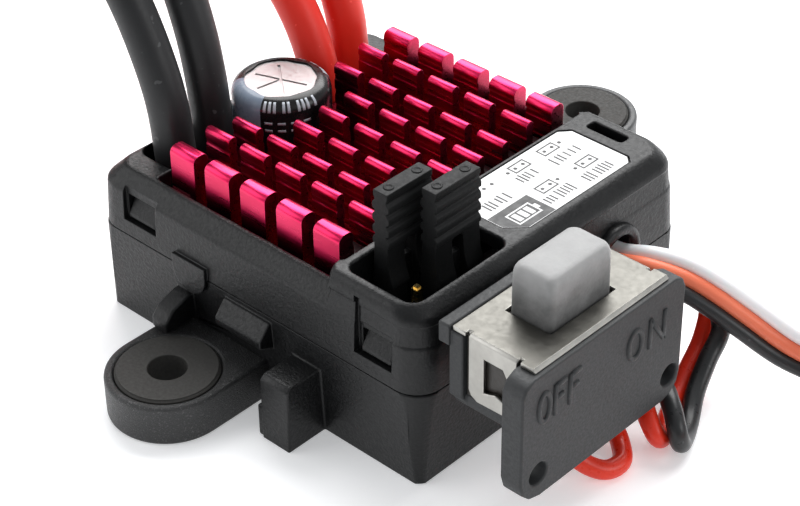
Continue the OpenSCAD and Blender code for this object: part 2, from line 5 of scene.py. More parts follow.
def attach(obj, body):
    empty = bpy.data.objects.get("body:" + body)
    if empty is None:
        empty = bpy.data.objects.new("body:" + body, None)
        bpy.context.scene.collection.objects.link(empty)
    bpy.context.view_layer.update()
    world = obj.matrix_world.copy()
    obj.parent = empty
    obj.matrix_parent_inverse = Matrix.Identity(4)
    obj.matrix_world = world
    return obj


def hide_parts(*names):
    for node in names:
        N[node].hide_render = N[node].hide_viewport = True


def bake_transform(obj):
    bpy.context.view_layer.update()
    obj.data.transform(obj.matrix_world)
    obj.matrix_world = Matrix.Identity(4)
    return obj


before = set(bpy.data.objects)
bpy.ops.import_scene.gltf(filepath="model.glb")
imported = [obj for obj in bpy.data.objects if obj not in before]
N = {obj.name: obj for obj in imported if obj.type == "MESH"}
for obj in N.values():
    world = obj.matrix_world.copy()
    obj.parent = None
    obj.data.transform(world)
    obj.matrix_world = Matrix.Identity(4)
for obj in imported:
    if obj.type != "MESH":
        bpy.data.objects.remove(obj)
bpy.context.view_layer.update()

MM = 0.001
scene = bpy.context.scene
for left in ("Cube", "Light", "Camera"):
    if left in bpy.data.objects:
        bpy.data.objects.remove(bpy.data.objects[left])


# ------------------------------------------------------------------ camera
def camera():
    az, el, roll = math.radians(43.560), math.radians(35.565), math.radians(-0.784)
    back = Vector((math.sin(az) * math.cos(el), -math.cos(az) * math.cos(el), math.sin(el)))
    right = Vector((math.cos(az), math.sin(az), 0))
    up = back.cross(right)
    c, s = math.cos(roll), math.sin(roll)
    r2, u2 = right * c + up * s, up * c - right * s
    data = bpy.data.cameras.new("view")
    data.sensor_fit, data.sensor_width, data.lens = "HORIZONTAL", 36.0, 99.43
    data.clip_start, data.clip_end = 0.002, 20
    cam = bpy.data.objects.new("view", data)
    scene.collection.objects.link(cam)
    m = Matrix((r2, u2, back)).transposed().to_4x4()
    m.translation = (back * 183.079 + r2 * 0.984 - u2 * 3.041 + Vector((0, 0, 9))) * MM
    cam.matrix_world = m
    scene.camera = cam


camera()


# ------------------------------------------------------------------ materials
class Mat:
    """A small helper that builds one node material."""

    def __init__(self, name, **base):
        self.m = bpy.data.materials.new(name)
        self.m.use_nodes = True
        self.t = self.m.node_tree
        self.t.nodes.clear()
        self.out = self.t.nodes.new("ShaderNodeOutputMaterial")
        self.b = self.t.nodes.new("ShaderNodeBsdfPrincipled")
        self.t.links.new(self.b.outputs[0], self.out.inputs[0])
        self.tc = self.t.nodes.new("ShaderNodeTexCoord")
        for k, v in base.items():
            self.b.inputs[k.replace("_", " ")].default_value = v
        self.last_normal = None

    def node(self, kind, **kw):
        n = self.t.nodes.new(kind)
        for k, v in kw.items():
            if hasattr(n, k):
                setattr(n, k, v)
            else:
                n.inputs[k.replace("_", " ")].default_value = v
        return n

    def link(self, a, b):
        self.t.links.new(a, b)

    def noise(self, scale, detail=4.0, rough=0.6, stretch=None, kind="ShaderNodeTexNoise"):
        n = self.node(kind)
        n.inputs["Scale"].default_value = scale
        if kind == "ShaderNodeTexNoise":
            n.inputs["Detail"].default_value = detail
            n.inputs["Roughness"].default_value = rough
        src = self.tc.outputs["Object"]
        if stretch:
            mp = self.node("ShaderNodeMapping")
            mp.inputs["Scale"].default_value = stretch
            self.link(src, mp.inputs["Vector"])
            src = mp.outputs[0]
        self.link(src, n.inputs["Vector"])
        return n.outputs["Fac" if kind == "ShaderNodeTexNoise" else "Distance"]

    def ramp(self, fac, stops, smooth="LINEAR"):
        r = self.node("ShaderNodeValToRGB")
        r.color_ramp.interpolation = smooth
        e = r.color_ramp.elements
        while len(e) < len(stops):
            e.new(0.5)
        for i, (p, c) in enumerate(stops):
            e[i].position = p
            e[i].color = (c, c, c, 1) if isinstance(c, (int, float)) else (*c[:3], 1)
        self.link(fac, r.inputs[0])
        return r.outputs[0]

    def rough(self, fac, lo, hi, a=0.3, b=0.7):
        self.link(self.ramp(fac, [(a, lo), (b, hi)]), self.b.inputs["Roughness"])

    def bump(self, fac, strength, dist):
        n = self.node("ShaderNodeBump")
        n.inputs["Strength"].default_value = strength
        n.inputs["Distance"].default_value = dist
        self.link(fac, n.inputs["Height"])
        if self.last_normal:
            self.link(self.last_normal, n.inputs["Normal"])
        self.last_normal = n.outputs[0]
        self.link(n.outputs[0], self.b.inputs["Normal"])

    def color(self, sock):
        self.link(sock, self.b.inputs["Base Color"])

    def mix(self, fac, a, b):
        """colour a where fac is 0 and b where it is 1; a and b are colours or sockets"""
        n = self.node("ShaderNodeMix")
        n.data_type = "RGBA"
        self.link(fac, n.inputs[0])
        for i, v in ((6, a), (7, b)):
            if isinstance(v, tuple):
                n.inputs[i].default_value = (*v[:3], 1)
            else:
                self.link(v, n.inputs[i])
        return n.outputs[2]

    def edge(self, radius, lo=0.02, hi=0.2):
        """1 on convex edges, 0 elsewhere: the bevelled normal against the true one"""
        bv = self.node("ShaderNodeBevel")
        bv.samples = 4
        bv.inputs["Radius"].default_value = radius
        g = self.node("ShaderNodeNewGeometry")
        d = self.node("ShaderNodeVectorMath")
        d.operation = "DOT_PRODUCT"
        self.link(bv.outputs[0], d.inputs[0])
        self.link(g.outputs["Normal"], d.inputs[1])
        return self.ramp(d.outputs["Value"], [(0.80, 1.0), (0.99, 0.0)])


def col(*c):
    return tuple((x / 255) ** 2.2 for x in c)


def plastic(name, dark, light, grain=900, rough=(0.45, 0.65), bump=0.35, dist=0.00006, speck=None, edge=0.00012, coat=0.0, soft=None, spec=0.4):
    """Moulded plastic: spark-eroded grain, slow colour drift, a painted highlight along the edges, an optional speckle.
    """
    k = Mat(name)
    n1 = k.noise(grain * 4, 3, 0.6)
    n2 = k.noise(60, 3, 0.5)
    c = k.mix(k.ramp(n2, [(0.3, 0), (0.7, 1)]), dark, light)
    if speck:
        n3 = k.noise(grain * 3, 2, 0.5)
        c = k.mix(k.ramp(n3, [(0.60, 0), (0.68, 1)]), c, speck)
    # painted highlight: the edges are lightened in the colour
    e = k.edge(edge)
    c = k.mix(e, c, tuple(min(1, x * 1.7 + 0.01) for x in light))
    k.color(c)
    k.rough(n1, rough[0], rough[1])
    if soft:
        bv = k.node("ShaderNodeBevel")
        bv.samples = 6
        bv.inputs["Radius"].default_value = soft
        k.last_normal = bv.outputs[0]
    k.bump(n1, bump, dist)
    k.b.inputs["Specular IOR Level"].default_value = spec
    k.b.inputs["Coat Weight"].default_value = coat
    return k.m


case_mat = plastic("case_plastic", (0.0028, 0.0030, 0.0033), (0.0052, 0.0055, 0.0059), rough=(0.30, 0.50), bump=0.6, dist=0.00007, soft=0.00014, spec=0.30)
# painted glints: the light specks in the ear's colour stand in for the sparkle of its grain
ear_mat = plastic("ear_plastic", (0.0088, 0.0091, 0.0094), (0.0140, 0.0143, 0.0146), grain=2400, speck=(0.07, 0.07, 0.071), rough=(0.30, 0.52), bump=1.0, dist=0.00008, spec=0.5)
# painted sheen: the rear ear is a lighter copy of the ear plastic, for the light it catches
rear_ear_sheen_mat = plastic("rear_ear_sheen_plastic", (0.050, 0.052, 0.0535), (0.066, 0.068, 0.0695), rough=(0.36, 0.52))
holder_mat = plastic("holder_plastic", (0.020, 0.0213, 0.0224), (0.0265, 0.028, 0.0294), grain=1100, bump=0.35, spec=0.36)
jumper_mat = plastic("jumper_plastic", (0.0056, 0.0058, 0.0060), (0.0090, 0.0093, 0.0096), rough=(0.46, 0.64), bump=0.3, edge=0.0001, spec=0.2)
header_mat = plastic("header_plastic", (0.010, 0.010, 0.010), (0.014, 0.014, 0.014), rough=(0.35, 0.5), bump=0.12)
phenolic_mat = plastic("switch_phenolic", (0.02, 0.017, 0.015), (0.03, 0.026, 0.022), rough=(0.3, 0.5), bump=0.2)
chip_mat = plastic("chip_epoxy", (0.016, 0.016, 0.017), (0.024, 0.024, 0.025), rough=(0.5, 0.7))
grommet_mat = plastic("grommet_rubber", (0.029, 0.028, 0.0258), (0.042, 0.0405, 0.0375), rough=(0.55, 0.8), bump=0.4, spec=0.3)
plug_mat = plastic("plug_nylon", (0.42, 0.02, 0.012), (0.5, 0.03, 0.02), rough=(0.35, 0.55), bump=0.2)
bung_mat = plastic("bung_rubber", (0.02, 0.02, 0.02), (0.03, 0.03, 0.03), rough=(0.6, 0.8))
shrink_black = plastic("shrink_black", (0.012, 0.012, 0.012), (0.02, 0.02, 0.02), rough=(0.3, 0.5), bump=0.2)
shrink_red = plastic("shrink_red", (0.4, 0.02, 0.012), (0.48, 0.03, 0.02), rough=(0.3, 0.5), bump=0.2)
pad_mat = plastic("thermal_silicone", (0.25, 0.29, 0.33), (0.3, 0.34, 0.38), rough=(0.6, 0.8))


def metal(name, dark, light, rough=(0.2, 0.4), brush=(200, 200, 3000), bump=0.1, edge=None):
    k = Mat(name, Metallic=1.0)
    n1 = k.noise(1.0, 4, 0.6, stretch=brush)
    n2 = k.noise(150, 3, 0.5)
    c = k.mix(k.ramp(n2, [(0.3, 0), (0.7, 1)]), dark, light)
    k.color(c)
    k.rough(n1, *rough)
    k.bump(n1, bump, 0.00002)
    return k.m


can_mat = metal("can_aluminium", (0.36, 0.345, 0.345), (0.50, 0.485, 0.485), rough=(0.30, 0.48), brush=(2500, 2500, 2500), bump=0.35)


def satin_steel():
    """Plated sheet with faint blotches; painted shade darkens the top faces and painted light brightens the folded
    sides.
    """
    k = Mat("switch_steel", Metallic=1.0)
    n1 = k.noise(2200, 4, 0.6)
    n2 = k.noise(420, 4, 0.6)
    # painted light and shade: faces that point up take the darker top colour, the others the lighter side colour
    side = k.mix(k.ramp(n2, [(0.3, 0), (0.7, 1)]), (0.33, 0.322, 0.300), (0.43, 0.420, 0.392))
    top = k.mix(k.ramp(n2, [(0.3, 0), (0.7, 1)]), (0.098, 0.095, 0.086), (0.132, 0.128, 0.116))
    g = k.node("ShaderNodeNewGeometry")
    s = k.node("ShaderNodeSeparateXYZ")
    k.link(g.outputs["Normal"], s.inputs[0])
    k.color(k.mix(k.ramp(s.outputs["Z"], [(0.90, 0), (0.985, 1)]), side, top))
    k.rough(n1, 0.30, 0.46)
    k.bump(n1, 0.25, 0.00002)
    return k.m


steel_mat = satin_steel()
tin_mat = metal("tinned_metal", (0.62, 0.61, 0.6), (0.72, 0.71, 0.7), rough=(0.3, 0.5), brush=(900, 900, 900))
gold_mat = metal("gold_plate", (0.72, 0.50, 0.18), (0.86, 0.64, 0.26), rough=(0.2, 0.35), brush=(900, 900, 900))
bronze_mat = metal("spring_bronze", (0.62, 0.45, 0.24), (0.72, 0.55, 0.3), rough=(0.25, 0.4), brush=(900, 900, 900))


def anodised():
    k = Mat("anodised_red", Metallic=1.0)
    n1 = k.noise(1.0, 3, 0.6, stretch=(300, 4000, 4000))
    n2 = k.noise(180, 3, 0.5)
    c = k.mix(k.ramp(n2, [(0.3, 0), (0.7, 1)]), (0.60, 0.010, 0.075), (0.72, 0.016, 0.105))
    # painted glint: the fin edges are lightened to bright pink in the colour
    e = k.edge(0.00008)
    c = k.mix(e, c, (1.0, 0.10, 0.28))
    # painted shade: the gaps between the fins are darkened in the colour by ambient occlusion
    ao = k.node("ShaderNodeAmbientOcclusion")
    ao.samples = 8
    ao.inputs["Distance"].default_value = 0.0035
    c = k.mix(k.ramp(ao.outputs["AO"], [(0.30, 0.0), (0.86, 1.0)]), (0.15, 0.002, 0.012), c)
    k.color(c)
    k.rough(n1, 0.24, 0.38)
    k.bump(n1, 0.12, 0.00002)
    k.b.inputs["Coat Weight"].default_value = 0.25
    k.b.inputs["Coat Roughness"].default_value = 0.2
    return k.m


anod_mat = anodised()


def silicone(name, dark, light, rough=(0.38, 0.52), sub=0.0, sheen=0.15):
    """Soft silicone insulation: matt, with dust specks and a faint colour drift."""
    k = Mat(name)
    n1 = k.noise(2600, 3, 0.6)
    n2 = k.noise(90, 3, 0.5)
    n3 = k.noise(1500, 1, 0.4)
    c = k.mix(k.ramp(n2, [(0.3, 0), (0.7, 1)]), dark, light)
    c = k.mix(k.ramp(n3, [(0.74, 0), (0.78, 0.6)]), c, tuple(min(1, x * 1.8 + 0.05) for x in light))
    k.color(c)
    k.rough(n1, *rough)
    k.bump(n1, 0.12, 0.00004)
    k.b.inputs["Sheen Weight"].default_value = sheen
    k.b.inputs["Sheen Roughness"].default_value = 0.5
    k.b.inputs["Specular IOR Level"].default_value = 0.36
    if sub:
        k.b.inputs["Subsurface Weight"].default_value = sub
        k.b.inputs["Subsurface Scale"].default_value = 0.0006
        k.b.inputs["Subsurface Radius"].default_value = (1.0, 0.3, 0.2)
    return k.m


wire_black = silicone("wire_black", (0.0055, 0.006, 0.0068), (0.0088, 0.0093, 0.0102), sheen=0.1)
wire_red = silicone("wire_red", (0.74, 0.018, 0.007), (0.84, 0.028, 0.010), sub=0.12)
lead_black = silicone("lead_black", (0.014, 0.015, 0.016), (0.02, 0.021, 0.022), rough=(0.25, 0.4), sheen=0.0)
lead_red = silicone("lead_red", (0.66, 0.026, 0.010), (0.76, 0.040, 0.014), rough=(0.25, 0.4), sub=0.1, sheen=0.0)
rib_white = silicone("ribbon_white", (0.86, 0.86, 0.87), (0.91, 0.91, 0.92), rough=(0.3, 0.42), sub=0.1, sheen=0.0)
rib_red = silicone("ribbon_red", (0.80, 0.17, 0.085), (0.87, 0.22, 0.115), rough=(0.3, 0.42), sub=0.1, sheen=0.0)
rib_black = silicone("ribbon_black", (0.014, 0.015, 0.016), (0.02, 0.021, 0.022), rough=(0.28, 0.42), sheen=0.0)


# ------------------------------------------------------------------ mesh helpers
def make(name, verts, faces, mats, midx=None, smooth=True, angle=40):
    me = bpy.data.meshes.new(name)
    me.from_pydata([tuple(v) for v in verts], [], faces)
    for m in mats:
        me.materials.append(m)
    if midx:
        for p, i in zip(me.polygons, midx):
            p.material_index = i
    me.validate()
    bm = bmesh.new()
    bm.from_mesh(me)
    bmesh.ops.recalc_face_normals(bm, faces=bm.faces)
    bm.to_mesh(me)
    bm.free()
    o = bpy.data.objects.new(name, me)
    scene.collection.objects.link(o)
    if smooth:
        me.shade_smooth()
        if angle < 180:
            me.set_sharp_from_angle(angle=math.radians(angle))
    return o


def curve_points(pts, step):
    """A smooth line through the points (centripetal Catmull-Rom), as points about step apart, in metres."""
    P = [Vector(p) * MM for p in pts]
    P = [P[0] * 2 - P[1]] + P + [P[-1] * 2 - P[-2]]
    out = []
    for i in range(1, len(P) - 2):
        p0, p1, p2, p3 = P[i - 1:i + 3]
        t0 = 0.0
        t1 = t0 + (p1 - p0).length ** 0.5
        t2 = t1 + (p2 - p1).length ** 0.5
        t3 = t2 + (p3 - p2).length ** 0.5
        n = max(1, int(math.ceil((p2 - p1).length / step)))
        for k in range(n):
            t = t1 + (t2 - t1) * k / n
            a1 = p0 * ((t1 - t) / (t1 - t0)) + p1 * ((t - t0) / (t1 - t0))
            a2 = p1 * ((t2 - t) / (t2 - t1)) + p2 * ((t - t1) / (t2 - t1))
            a3 = p2 * ((t3 - t) / (t3 - t2)) + p3 * ((t - t2) / (t3 - t2))
            b1 = a1 * ((t2 - t) / (t2 - t0)) + a2 * ((t - t0) / (t2 - t0))
            b2 = a2 * ((t3 - t) / (t3 - t1)) + a3 * ((t - t1) / (t3 - t1))
            out.append(b1 * ((t2 - t) / (t2 - t1)) + b2 * ((t - t1) / (t2 - t1)))
    out.append(P[-2])
    return out


def sweep(name, line, profile, mats, pmat=None, width=None):
    """Sweeps a closed profile of (a, b) offsets along the line. width gives a direction for the profile's first axis at each point; without it the profile is carried along without twist."""
    n = len(line)
    tan = [(line[min(i + 1, n - 1)] - line[max(i - 1, 0)]).normalized() for i in range(n)]
    us = []
    u = None
    for i in range(n):
        if width:
            w = width[i]
        elif u is None:
            w = Vector((0, 1, 0)) if abs(tan[0].y) < 0.9 else Vector((1, 0, 0))
        else:
            w = u
        u = (w - tan[i] * w.dot(tan[i])).normalized()
        us.append(u)
    verts, faces, midx = [], [], []
    m = len(profile)
    for i in range(n):
        v = tan[i].cross(us[i])
        verts += [line[i] + us[i] * a + v * b for a, b in profile]
    for i in range(n - 1):
        for k in range(m):
            k2 = (k + 1) % m
            faces.append((i * m + k, (i + 1) * m + k, (i + 1) * m + k2, i * m + k2))
            midx.append(pmat[k] if pmat else 0)
    faces += [tuple(range(m - 1, -1, -1)), tuple((n - 1) * m + k for k in range(m))]
    midx += [0, 0]
    return make(name, verts, faces, mats, midx, angle=50)


def round_profile(r, n=28):
    return [(r * math.cos(2 * math.pi * k / n), r * math.sin(2 * math.pi * k / n)) for k in range(n)]


def dress(node, mat):
    me = N[node].data
    me.materials.clear()
    me.materials.append(mat)


def soften(node, body, width, seg=3, angle=30, name=None):
    """A detailed copy of a CAD solid with real rounded edges; it replaces the CAD node.
    Each edge gets the widest rounding, up to width, that the faces beside it leave room for."""
    src = N[node].data
    bm = bmesh.new()
    bm.from_mesh(src)
    bmesh.ops.remove_doubles(bm, verts=bm.verts, dist=2e-6)
    bmesh.ops.dissolve_limit(bm, angle_limit=math.radians(0.6), use_dissolve_boundaries=False, verts=bm.verts, edges=bm.edges)
    bmesh.ops.recalc_face_normals(bm, faces=bm.faces)
    w = width * MM
    lay = bm.edges.layers.float.new("bevel_weight_edge")
    for e in bm.edges:
        if len(e.link_faces) != 2 or e.calc_face_angle(0.0) < math.radians(angle):
            continue
        room = w
        for l0 in e.link_loops:
            for l, v in ((l0.link_loop_prev, l0.vert), (l0.link_loop_next, l0.link_loop_next.vert)):
                other = l.edge
                d1 = (e.other_vert(v).co - v.co)
                d2 = (other.other_vert(v).co - v.co)
                if d1.length < 1e-9 or d2.length < 1e-9:
                    continue
                corner = l0 if v == l0.vert else l0.link_loop_next
                t = corner.calc_angle()
                if not corner.is_convex:
                    t = 2 * math.pi - t
                if t > math.radians(140):
                    continue
                room = min(room, 0.45 * d2.length * math.sin(min(t, math.pi / 2)))
        if room > 0.015 * MM:
            e[lay] = room / w
    me = bpy.data.meshes.new(name or node + "_body")
    bm.to_mesh(me)
    bm.free()
    for a in ("custom_normal", "sharp_face", "sharp_edge"):
        if a in me.attributes:
            me.attributes.remove(me.attributes[a])
    me.materials.clear()
    me.materials.append(src.materials[0])
    me.shade_smooth()
    o = bpy.data.objects.new(name or node + "_body", me)
    scene.collection.objects.link(o)
    b = o.modifiers.new("edge", "BEVEL")
    b.width, b.segments, b.limit_method = w, seg, "WEIGHT"
    b.use_clamp_overlap = False
    n = o.modifiers.new("normals", "WEIGHTED_NORMAL")
    n.weight, n.keep_sharp = 60, False
    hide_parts(node)
    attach(o, body)
    return o


# ------------------------------------------------------------------ cords
ROUTES = {
    "motor_wire_black": [[-14.6, -9.9, 7.8], [-14.8, -9.9, 14], [-15.4, -9.9, 18.5], [-17, -9.8, 22.5], [-19.5, -9.8, 27], [-23.5, -9.7, 31.2], [-29, -9.6, 33.4], [-35.27, -9.5, 32], [-41.61, -9.5, 27.5], [-47.33, -9.5, 20.8], [-52.47, -9.5, 13.2], [-57.5, -9.5, 6.9], [-62, -9.6, 3.6], [-66, -10, 2.4], [-70, -11.1, 2.1], [-72.9, -14, 2.15], [-74, -17.8, 2.25], [-74, -20, 2.25]],
    "battery_wire_black": [[-14.8, -5.5, 7.8], [-15, -5.5, 15], [-15.5, -5.45, 19], [-16.6, -5.3, 23], [-18.8, -5.1, 27.5], [-23, -4.9, 31.6], [-29, -4.7, 33.6], [-35.79, -4.6, 32], [-42.78, -4.5, 27], [-49.5, -4.5, 20], [-56.36, -4.5, 12.4], [-63.55, -4.5, 6.2], [-70.4, -4.6, 2.9], [-75, -5, 2], [-79, -6.1, 2.3], [-81.9, -9, 3.1], [-83, -12.8, 3.9], [-83, -15, 4]],
    "battery_wire_red": [[-14, 6.7, 7.8], [-14, 6.7, 11.5], [-15, 6.7, 16], [-17.2, 6.7, 20], [-21, 6.7, 23.6], [-26, 6.7, 26.2], [-33.3, 6.6, 26.8], [-42.78, 6.5, 24.2], [-53.56, 6.4, 18.6], [-64.12, 6.3, 12.4], [-72.97, 6, 6.6], [-79, 4.8, 2.9], [-84.6, 1.6, 1.8], [-88.2, -3.2, 2.2], [-89.7, -8.6, 3.2], [-89.7, -13, 4], [-89.7, -15, 4]],
    "motor_wire_red": [[-14.6, 10.8, 7.8], [-14.8, 10.8, 14], [-15.3, 10.8, 18.2], [-17.2, 10.8, 22.5], [-20.4, 10.8, 26], [-25.5, 10.8, 28.8], [-32.13, 10.8, 29.4], [-42.04, 10.8, 27], [-53.56, 10.9, 20.6], [-64.12, 11, 12.4], [-72.97, 10.8, 5.6], [-79.6, 9.6, 2.4], [-86.6, 7, 1.8], [-92, 2.6, 1.8], [-95.2, -3, 1.9], [-96.3, -8, 2.25], [-96.4, -12, 2.25]],
    "switch_lead_red": [[16.3, 8, 8.25], [19, 8.1, 8.25], [21, 9.8, 8.3], [22.5, 12, 7.2], [23.9, 12.4, 5], [24.8, 10.7, 3.2], [25.7, 7.5, 1.9], [26.6, 4.7, 1], [27.6, 2.4, 0.8], [28.5, 0.7, 0.9], [28.7, -0.35, 1.9], [27.7, -0.15, 2.9], [26.3, 0.7, 3.6], [24.9, 0.5, 4.3], [24.3, -0.8, 3.9], [25, -1.4, 2.2], [26.4, -1.9, 1], [27.9, -3.6, 0.8], [27.6, -5.2, 0.85], [26.2, -6.5, 1.8], [24.6, -7, 3.8], [23.8, -7.1, 6.6], [23.8, -7.1, 7.75]],
    "switch_lead_black": [[16.3, 6.2, 8.25], [19.2, 6.3, 8.25], [22.2, 8.4, 8.1], [24.8, 11.4, 6.6], [26.2, 11.1, 4.6], [26.9, 8.5, 3.1], [27.7, 6, 1.8], [28.8, 3.9, 0.9], [29.7, 2.1, 0.85], [30.3, 0.7, 1.4], [30, 0.5, 2.7], [28.8, 1.35, 3.65], [26.7, 2.6, 4.3], [24.7, 1.6, 5.7], [24, -1.6, 5.9], [23.8, -3.9, 6.5], [23.8, -4.15, 7.75]],
}
RIBBON = [[13.4, 6.9, 9.8], [18.2, 6.9, 9.8], [21, 7.5, 10.2], [23.8, 8.8, 9.7], [26.2, 10, 8.4], [28.6, 11.3, 6.6], [31.4, 12.9, 4.4], [35.2, 14.5, 2.9], [39.2, 14.4, 2.1], [42.6, 12.2, 1.95], [45.2, 7.4, 1.95]]
RIBBON_W = [[0, 1, 0.1], [0, 1, 0.15], [0, 0.95, 0.3], [0.1, 0.85, 0.5], [0.1, 0.78, 0.6], [0.1, 0.72, 0.7], [0.1, 0.5, 0.85], [0, 0.2, 1], [0, 0, 1], [0, 0, 1], [0, 0, 1]]
hx, hz = 49.2, 2.05
HANK = [[hx - 3.35, 2.5, hz], [hx - 3.35, -4, hz], [hx - 2.9, -9.4, hz], [hx - 1.7, -11.2, hz], [hx - 0.5, -9.6, hz], [hx, -5, hz], [hx, 8, hz], [hx, 22, hz], [hx + 0.3, 31, hz], [hx + 1.7, 33, hz], [hx + 3.1, 31.2, hz], [hx + 3.35, 26, hz], [hx + 3.35, 12, hz], [hx + 3.35, -2, hz], [hx + 3.3, -9.5, hz], [hx + 2.3, -14, hz], [hx + 0.6, -16.6, hz + 0.5], [hx, -18.4, hz + 1.4]]


def wire(name, mat, dia, step=0.0012):
    line = curve_points(ROUTES[name], step)
    o = sweep(name + "_cord", line, round_profile(dia / 2 - 0.00001), [mat])
    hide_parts(name)
    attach(o, "controller")
    return o


# the plugs on the cords, with rounded edges
dress("battery_plug", plug_mat)
dress("receiver_plug", jumper_mat)
ON_CORD = {
    "battery_plug": soften("battery_plug", "controller", 0.3),
    "receiver_plug": soften("receiver_plug", "controller", 0.12),
}

# the four power wires and the two switch leads
for name, mat, exit, pieces, far in (
    ("motor_wire_black", wire_black, (-0.0148, -0.0099, 0.0142), ["motor_bullet_black", "motor_sleeve_black"], "connector"),
    ("battery_wire_black", wire_black, (-0.0150, -0.0055, 0.0142), ["battery_plug", "battery_plug_contacts"], "plug"),
    ("battery_wire_red", wire_red, (-0.0144, 0.0067, 0.0142), ["battery_plug", "battery_plug_contacts"], "plug"),
    ("motor_wire_red", wire_red, (-0.0148, 0.0108, 0.0142), ["motor_bullet_red", "motor_sleeve_red"], "connector"),
):
    wire(name, mat, 0.0035)
wire("switch_lead_red", lead_red, 0.0016, 0.0004)
wire("switch_lead_black", lead_black, 0.0016, 0.0004)


def ribbon():
    def lobe(c, r=0.635, top=True):
        s = 1 if top else -1
        out = []
        for k in range(9):
            a = math.radians(162 - 144 * k / 8)
            out.append((c + r * math.cos(a), s * r * math.sin(a)))
        return out

    prof, pm = [], []
    for i, c in enumerate((-1.2, 0.0, 1.2)):
        q = lobe(c)
        prof += q
        pm += [i] * len(q)
    prof.append((1.2 + 0.635, 0.0)); pm.append(2)
    for i, c in ((2, 1.2), (1, 0.0), (0, -1.2)):
        q = lobe(c, top=False)[::-1]
        prof += q
        pm += [i] * len(q)
    prof.append((-1.2 - 0.635, 0.0)); pm.append(0)
    prof = [(a * MM, b * MM) for a, b in prof]
    free = curve_points(RIBBON, 0.0007)
    whole = curve_points(RIBBON + HANK, 0.0007)
    ctrl = [Vector(p) * MM for p in RIBBON]
    widths = []
    cum = [0.0]
    for a, b in zip(ctrl, ctrl[1:]):
        cum.append(cum[-1] + (b - a).length)
    run = 0.0
    for i, p in enumerate(whole):
        if i:
            run += (p - whole[i - 1]).length
        j = 0
        while j < len(cum) - 2 and run > cum[j + 1]:
            j += 1
        f = min(1.0, max(0.0, (run - cum[j]) / (cum[j + 1] - cum[j])))
        widths.append((Vector(RIBBON_W[j]).lerp(Vector(RIBBON_W[j + 1]), f)).normalized())
    # +width is the white core, -width the black one
    o = sweep("receiver_ribbon", whole, prof, [rib_black, rib_red, rib_white], pm, widths)
    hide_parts("receiver_lead", "receiver_hank")
    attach(o, "controller")
    # the tie round the middle of the hank
    tp = []
    for k in range(48):
        a = 2 * math.pi * k / 48
        ca, sa = math.cos(a), math.sin(a)
        tp.append((4.15 * (abs(ca) ** 0.35) * (1 if ca > 0 else -1), 1.86 * (abs(sa) ** 0.35) * (1 if sa > 0 else -1)))
    verts, faces = [], []
    for y, g in ((10.0, 0.0), (10.15, 0.12), (12.6, 0.12), (12.75, 0.0)):
        for a, b in tp:
            verts.append(((hx + a * (1 + g / 4.2)) * MM, y * MM, (hz + b * (1 + g / 8)) * MM))
    for r in range(3):
        for k in range(48):
            k2 = (k + 1) % 48
            faces.append((r * 48 + k, r * 48 + k2, (r + 1) * 48 + k2, (r + 1) * 48 + k))
    tie = make("hank_tie", verts, faces, [shrink_black])
    sol = tie.modifiers.new("solid", "SOLIDIFY")
    sol.thickness = 0.0001
    sol.offset = 1
    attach(tie, "controller")
    return o


ribbon()


# ------------------------------------------------------------------ more materials
def board():
    k = Mat("board_green")
    n1 = k.noise(700, 2, 0.5)
    n2 = k.noise(240, 2, 0.4)
    c = k.mix(k.ramp(n2, [(0.48, 0), (0.52, 1)]), (0.012, 0.075, 0.035), (0.02, 0.11, 0.05))
    k.color(c)
    k.rough(n1, 0.3, 0.45)
    k.bump(n2, 0.2, 0.00003)
    k.b.inputs["Coat Weight"].default_value = 0.3
    return k.m


def paper(name, dark, light, wear=None):
    k = Mat(name)
    n1 = k.noise(1800, 3, 0.6)
    n2 = k.noise(260, 4, 0.6)
    c = k.mix(k.ramp(n2, [(0.3, 0), (0.7, 1)]), dark, light)
    if wear:
        c = k.mix(k.ramp(k.noise(900, 4, 0.7), [(0.66, 0), (0.72, 1)]), c, wear)
    k.color(c)
    k.rough(n1, 0.42, 0.6)
    k.bump(n1, 0.1, 0.00002)
    return k.m


def sleeve_vinyl(name, dark, light):
    k = Mat(name)
    n1 = k.noise(1500, 3, 0.6)
    n2 = k.noise(300, 3, 0.6)
    k.color(k.mix(k.ramp(n2, [(0.35, 0), (0.65, 1)]), dark, light))
    k.rough(n1, 0.20, 0.36)
    k.bump(n2, 0.15, 0.00006)
    k.b.inputs["Specular IOR Level"].default_value = 0.3
    k.b.inputs["Coat Weight"].default_value = 0.1
    k.b.inputs["Coat Roughness"].default_value = 0.15
    return k.m


def soft_boot():
    k = Mat("boot_silicone")
    g = k.node("ShaderNodeSeparateXYZ")
    k.link(k.tc.outputs["Object"], g.inputs[0])
    n2 = k.noise(700, 4, 0.65)
    n1 = k.noise(4200, 3, 0.6)
    low = k.node("ShaderNodeMapRange")
    low.inputs["From Min"].default_value = 0.0160
    low.inputs["From Max"].default_value = 0.0206
    k.link(g.outputs["Z"], low.inputs["Value"])
    base = k.ramp(low.outputs[0], [(0.0, (0.035, 0.035, 0.034)), (0.45, (0.10, 0.10, 0.098)), (1.0, (0.24, 0.24, 0.238))])
    k.color(k.mix(k.ramp(n2, [(0.35, 0), (0.65, 0.25)]), base, (0.34, 0.34, 0.335)))
    k.rough(n1, 0.42, 0.58)
    k.bump(n1, 0.2, 0.00004)
    k.b.inputs["Subsurface Weight"].default_value = 0.35
    k.b.inputs["Subsurface Scale"].default_value = 0.0012
    k.b.inputs["Subsurface Radius"].default_value = (1.0, 1.0, 1.0)
    k.b.inputs["Sheen Weight"].default_value = 0.2
    return k.m


